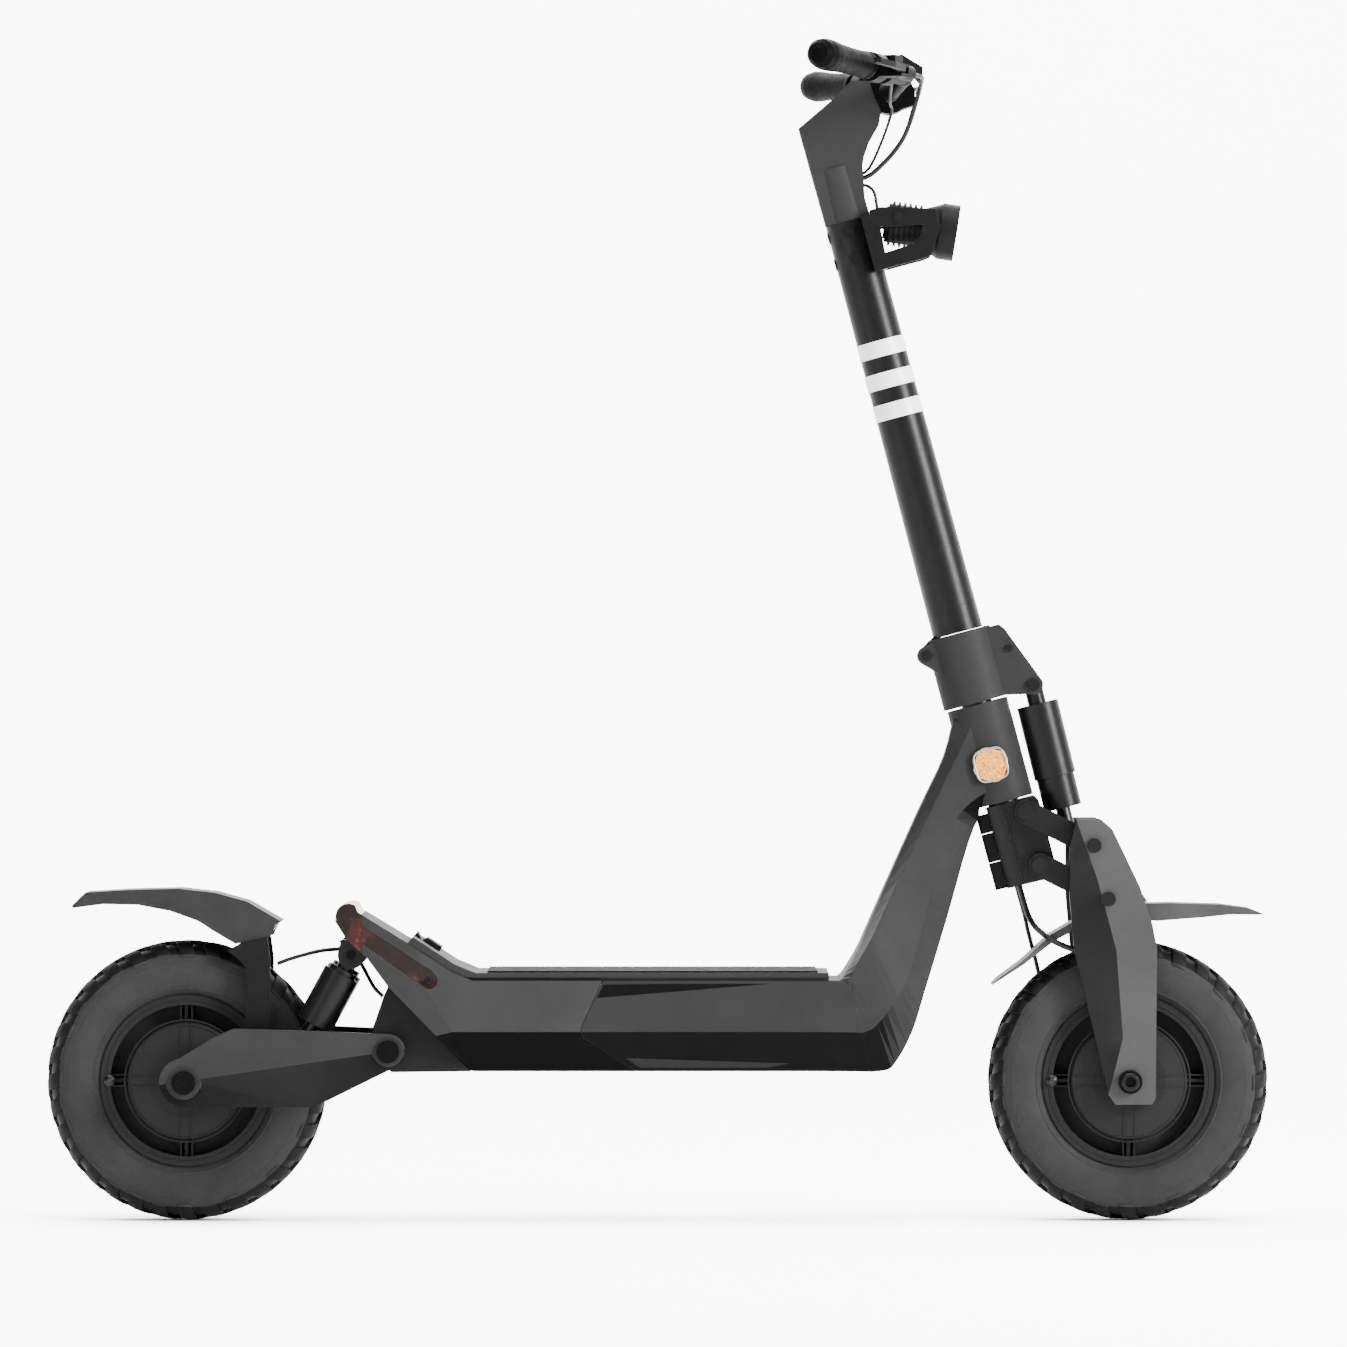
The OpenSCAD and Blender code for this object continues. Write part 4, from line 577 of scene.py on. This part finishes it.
# thin sheets on the shell's sides: a near-black one is painted shade on the upper facet, a lighter one is a
# painted highlight on the low facet
painted_shade_sheet = powder_coat("painted_shade_sheet", 0.003, 0.5, gloss=0.03, painted_shade_share=0.6)
painted_highlight_sheet = powder_coat("painted_highlight_sheet", 0.012, 0.5, gloss=0.03, painted_shade_share=1.0)
for side, tag in SIDES:
    inlay(f"shell_painted_shade_{tag}", "frame", "front_frame", "frame_grey", painted_shade_sheet,
          [(-58, 262.5), (-66, 247), (118, 262), (122, 262.5)], side)
    inlay(f"shell_low_painted_highlight_{tag}", "frame", "front_frame", "frame_grey", painted_highlight_sheet,
          [(-35, 181), (-19, 170), (120, 170), (145, 175)], side)
    turned(f"front_axle_socket_{tag}", "fork", "bolt_black", (517, side * 76.4, 154),
           [(5.5, 0), (10, 0), (10, 2.2), (8.8, 3.2), (6.4, 3.2), (5.5, 2.2)], side)


# raised rings on a wheel's face: radius, distance from the middle plane, half thickness (mm)
WHEEL_RINGS = ((66.6, 40.6, 1.1), (61.4, 44.0, 0.9), (88.2, 31.0, 0.8))
# ribs: (radius, distance from the middle plane) along the crest, and the distance of the foot (mm)
RIM_RIB = ([(63.5, 27), (83.5, 27)], 8)
HUB_RIB = ([(24, 48.45), (40, 48.45), (60, 45.25)], 43)
RIB_OFF = 6
RIB_HALF = 0.8
VALVE_R = 84
VALVE_Y = -30.5


def wheel_trim(name, body, node):
    """Raised rings and paired ribs cast in the wheel's right face, and the tyre valve."""
    lo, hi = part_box(node)
    c = (lo + hi) / 2
    c.y = 0
    bm = bmesh.new()
    for r, y, half in WHEEL_RINGS:
        revolve(bm, round_outline(r, y, half, half, -1), c, 120)
    for quarter in range(4):
        a = math.pi / 2 * quarter
        along = Vector((math.cos(a), 0, math.sin(a)))
        across = Vector((-math.sin(a), 0, math.cos(a)))
        for off in (-RIB_OFF, RIB_OFF):
            for crest, foot in (RIM_RIB, HUB_RIB):
                top, base = [], []
                for r, y in crest:
                    row = [c + along * r * MM + across * (off + q) * MM for q in (-RIB_HALF, RIB_HALF)]
                    top.append([Vector((p.x, -y * MM, p.z)) for p in row])
                    base.append([Vector((p.x, -foot * MM, p.z)) for p in row])
                grid_block(bm, top, base)
    piece_from(bm, name, body, "frame_grey", 30).data.materials[0] = OWN_FINISH["front_hub"]
    turned(f"{name}_valve", body, "steel", (c.x / MM - VALVE_R, VALVE_Y, c.z / MM),
           [(0, 0), (6, 0), (6, 2), (4.2, 3.2), (3.6, 7), (2.6, 7.6), (0, 7.6)], -1)


wheel_trim("front_wheel_trim", "front_wheel", "front_tyre")
wheel_trim("rear_wheel_trim", "rear_wheel", "rear_tyre")


# ---------------------------------------------------------------- tyres
LUGS = 32
# outer side of the tyre from the bead to the crown: radius, half width (mm)
CARCASS = [(88.6, 18), (88.6, 27.4), (94.8, 27.6), (98, 32.2), (104, 36.0), (113, 38.2), (123, 38.6),
           (132, 37.4), (139, 34.6), (144, 29.6), (147.2, 22), (148.8, 12), (149.4, 0)]
INNER = [(142, 0), (140.5, 12), (138, 20), (130, 30.5), (118, 32), (108, 31), (98, 22)]
LUG_ROOT = 1.2
LUG_CHAMFER = 0.5
TREAD_FROM = 139.2


def tyre(name, node, body):
    """A treaded tyre in place of the CAD one; beyond TREAD_FROM it takes a darker rubber, a painted shade on
    the tread.
    """
    lo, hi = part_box(node)
    centre = (lo + hi) / 2
    outer = spline(CARCASS[2:], 4)
    half = CARCASS[:2] + outer
    mirrored = [(r, -y) for r, y in reversed(half[:-1])] + [(r, -y) for r, y in reversed(INNER)]
    profile = half + mirrored + INNER[1:]
    bm = bmesh.new()
    revolve(bm, [(r * MM, y * MM) for r, y in profile], centre, 144)

    def at(r, y, a):
        return Vector((centre.x + r * MM * math.cos(a), centre.y + y * MM, centre.z + r * MM * math.sin(a)))

    pitch = 2 * math.pi / LUGS

    def block(path, side, mid, width, rise, slant):
        """One tread block along path; width and slant are shares of the pitch, rise goes from end to end."""
        top, base = [], []
        n = len(path)
        for i, (r, y, nr, ny) in enumerate(path):
            t = i / (n - 1)
            h = rise[0] + (rise[1] - rise[0]) * t
            if i in (0, n - 1):
                h -= LUG_CHAMFER
            a0 = mid + slant * pitch * (t - 0.5)
            row_t, row_b = [], []
            for k in (-1, -0.86, 0, 0.86, 1):
                drop = LUG_CHAMFER if abs(k) == 1 else 0
                a = a0 + k * pitch * width / 2
                row_t.append(at(r + nr * (h - drop), side * (y + ny * (h - drop)), a))
                row_b.append(at(r - nr * LUG_ROOT, side * (y - ny * LUG_ROOT), a))
            top.append(row_t)
            base.append(row_b)
        grid_block(bm, top, base)

    def stretch(r_from, r_to, y_stop):
        """The outline between a sidewall radius and a half width, with its outward direction."""
        pts = [p for p in outer if p[0] >= r_from and p[1] >= y_stop]
        out = []
        for i, (r, y) in enumerate(pts):
            a, b = pts[max(0, i - 1)], pts[min(len(pts) - 1, i + 1)]
            d = Vector((b[0] - a[0], b[1] - a[1])).normalized()
            out.append((r, y, -d.y, d.x))
        return out

    long_path = stretch(134, 154, 15.5)
    short_path = stretch(139, 154, 15.5)
    crown = [(r, y, 1, 0) for r, y in [(149.3, 1.6), (149.2, 6), (148.8, 11.4)]]
    for side in (-1, 1):
        for i in range(LUGS):
            mid = (i + (0.5 if side > 0 else 0)) * pitch
            path = long_path if i % 2 == 0 else short_path
            block(path, side, mid, 0.56, (2.0, 4.5), 0.2)
            block(crown, side, mid + 0.3 * pitch, 0.62, (4.3, 4.3), -0.2)
    # raised rings on the sidewall
    for r in (101.5, 128.5):
        y = next(q[1] for q in outer if q[0] >= r)
        for side in (-1, 1):
            revolve(bm, round_outline(r, y, 0.9, 0.55, side), centre, 96)
    # faces beyond TREAD_FROM take the darker rubber, painted shade on the tread
    for f in bm.faces:
        p = f.calc_center_median() - centre
        f.material_index = int(math.hypot(p.x, p.z) > TREAD_FROM * MM)
    made = piece_from(bm, name, body, "tyre", 40)
    made.data.materials.append(OWN_FINISH["tread"])
    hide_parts(node)


tyre("front_tyre_tread", "front_tyre", "front_wheel")
tyre("rear_tyre_tread", "rear_tyre", "rear_wheel")


# ---------------------------------------------------------------- stage and light
def stage_floor():
    """A bright studio sweep: its own glow fades where the wheels stand on it, a painted contact shadow."""
    bm = bmesh.new()
    line = [(y, 0.0) for y in (-30, -9, -4, -1, 1, 2.5)]
    bend = 1.6
    for k in range(1, 17):
        a = math.pi / 2 * k / 16
        line.append((2.5 + bend * math.sin(a), bend * (1 - math.cos(a))))
    line += [(2.5 + bend, 5.0), (2.5 + bend, 9.0)]
    rows = [[bm.verts.new((x, y, z)) for x in (-30, 30)] for y, z in line]
    for a, b in zip(rows, rows[1:]):
        f = bm.faces.new((a[0], a[1], b[1], b[0]))
        f.smooth = True
    mesh = bpy.data.meshes.new("floor")
    bm.to_mesh(mesh)
    bm.free()
    floor = bpy.data.objects.new("floor", mesh)
    bpy.context.scene.collection.objects.link(floor)
    s = Shader("floor", 0.85, Specular_IOR_Level=0.1)
    s.colour(s.mix(s.ramp(s.noise(3, 2), 0.3, 0.7, 0, 1), (0.93, 0.93, 0.93), (0.95, 0.95, 0.95)))
    s.bsdf.inputs["Emission Color"].default_value = (1, 1, 1, 1)
    near = s.node("ShaderNodeAmbientOcclusion", samples=12)
    near.inputs["Distance"].default_value = 0.22
    seen = s.math("MULTIPLY", s.node("ShaderNodeLightPath").outputs["Is Camera Ray"], 5.0)
    glow = s.math("ADD", seen, 1.1)
    # painted contact shadow: the floor's glow is dimmed where the scooter is close to it
    painted_shadow_mask = s.ramp(near.outputs["AO"], 0.3, 0.95, 0.0, 1.0)
    s.link(s.math("MULTIPLY", glow, painted_shadow_mask), s.bsdf.inputs["Emission Strength"])
    # the sweep shows only its front, so it doesn't hide the scooter from behind
    out = next(n for n in s.tree.nodes if n.type == "OUTPUT_MATERIAL")
    see_through = s.node("ShaderNodeMixShader")
    s.link(s.node("ShaderNodeNewGeometry").outputs["Backfacing"], see_through.inputs[0])
    s.link(s.bsdf.outputs["BSDF"], see_through.inputs[1])
    s.link(s.node("ShaderNodeBsdfTransparent").outputs["BSDF"], see_through.inputs[2])
    s.link(see_through.outputs["Shader"], out.inputs["Surface"])
    mesh.materials.append(s.done())


def soft_box(name, at, aim, size, power):
    data = bpy.data.lights.new(name, "AREA")
    data.shape = "RECTANGLE"
    data.size, data.size_y = size
    data.energy = power
    lamp = bpy.data.objects.new(name, data)
    bpy.context.scene.collection.objects.link(lamp)
    lamp.location = at
    lamp.rotation_euler = (Vector(aim) - Vector(at)).to_track_quat("-Z", "Y").to_euler()


stage_floor()
soft_box("top_light", (0.0, -0.6, 4.2), (0, 0, 0.3), (4.5, 3.5), 420)
soft_box("key_light", (4.9, -3.2, 2.4), (0.1, 0, 0.5), (1.6, 2.8), 1100)
soft_box("fill_light", (-3.4, -4.2, 1.8), (0.1, 0, 0.5), (1.6, 2.2), 70)
soft_box("back_light", (0.0, 3.2, 3.4), (0, 0, 0.6), (4.0, 1.6), 150)
world = bpy.data.worlds.new("world")
bpy.context.scene.world = world
world.use_nodes = True
shade = next(n for n in world.node_tree.nodes if n.type == "BACKGROUND")
shade.inputs["Color"].default_value = (1, 1, 1, 1)
path = world.node_tree.nodes.new("ShaderNodeLightPath")
glow = world.node_tree.nodes.new("ShaderNodeMath")
glow.operation = "MULTIPLY_ADD"
glow.inputs[1].default_value = 5.0
glow.inputs[2].default_value = 0.35
world.node_tree.links.new(path.outputs["Is Camera Ray"], glow.inputs[0])
world.node_tree.links.new(glow.outputs["Value"], shade.inputs["Strength"])
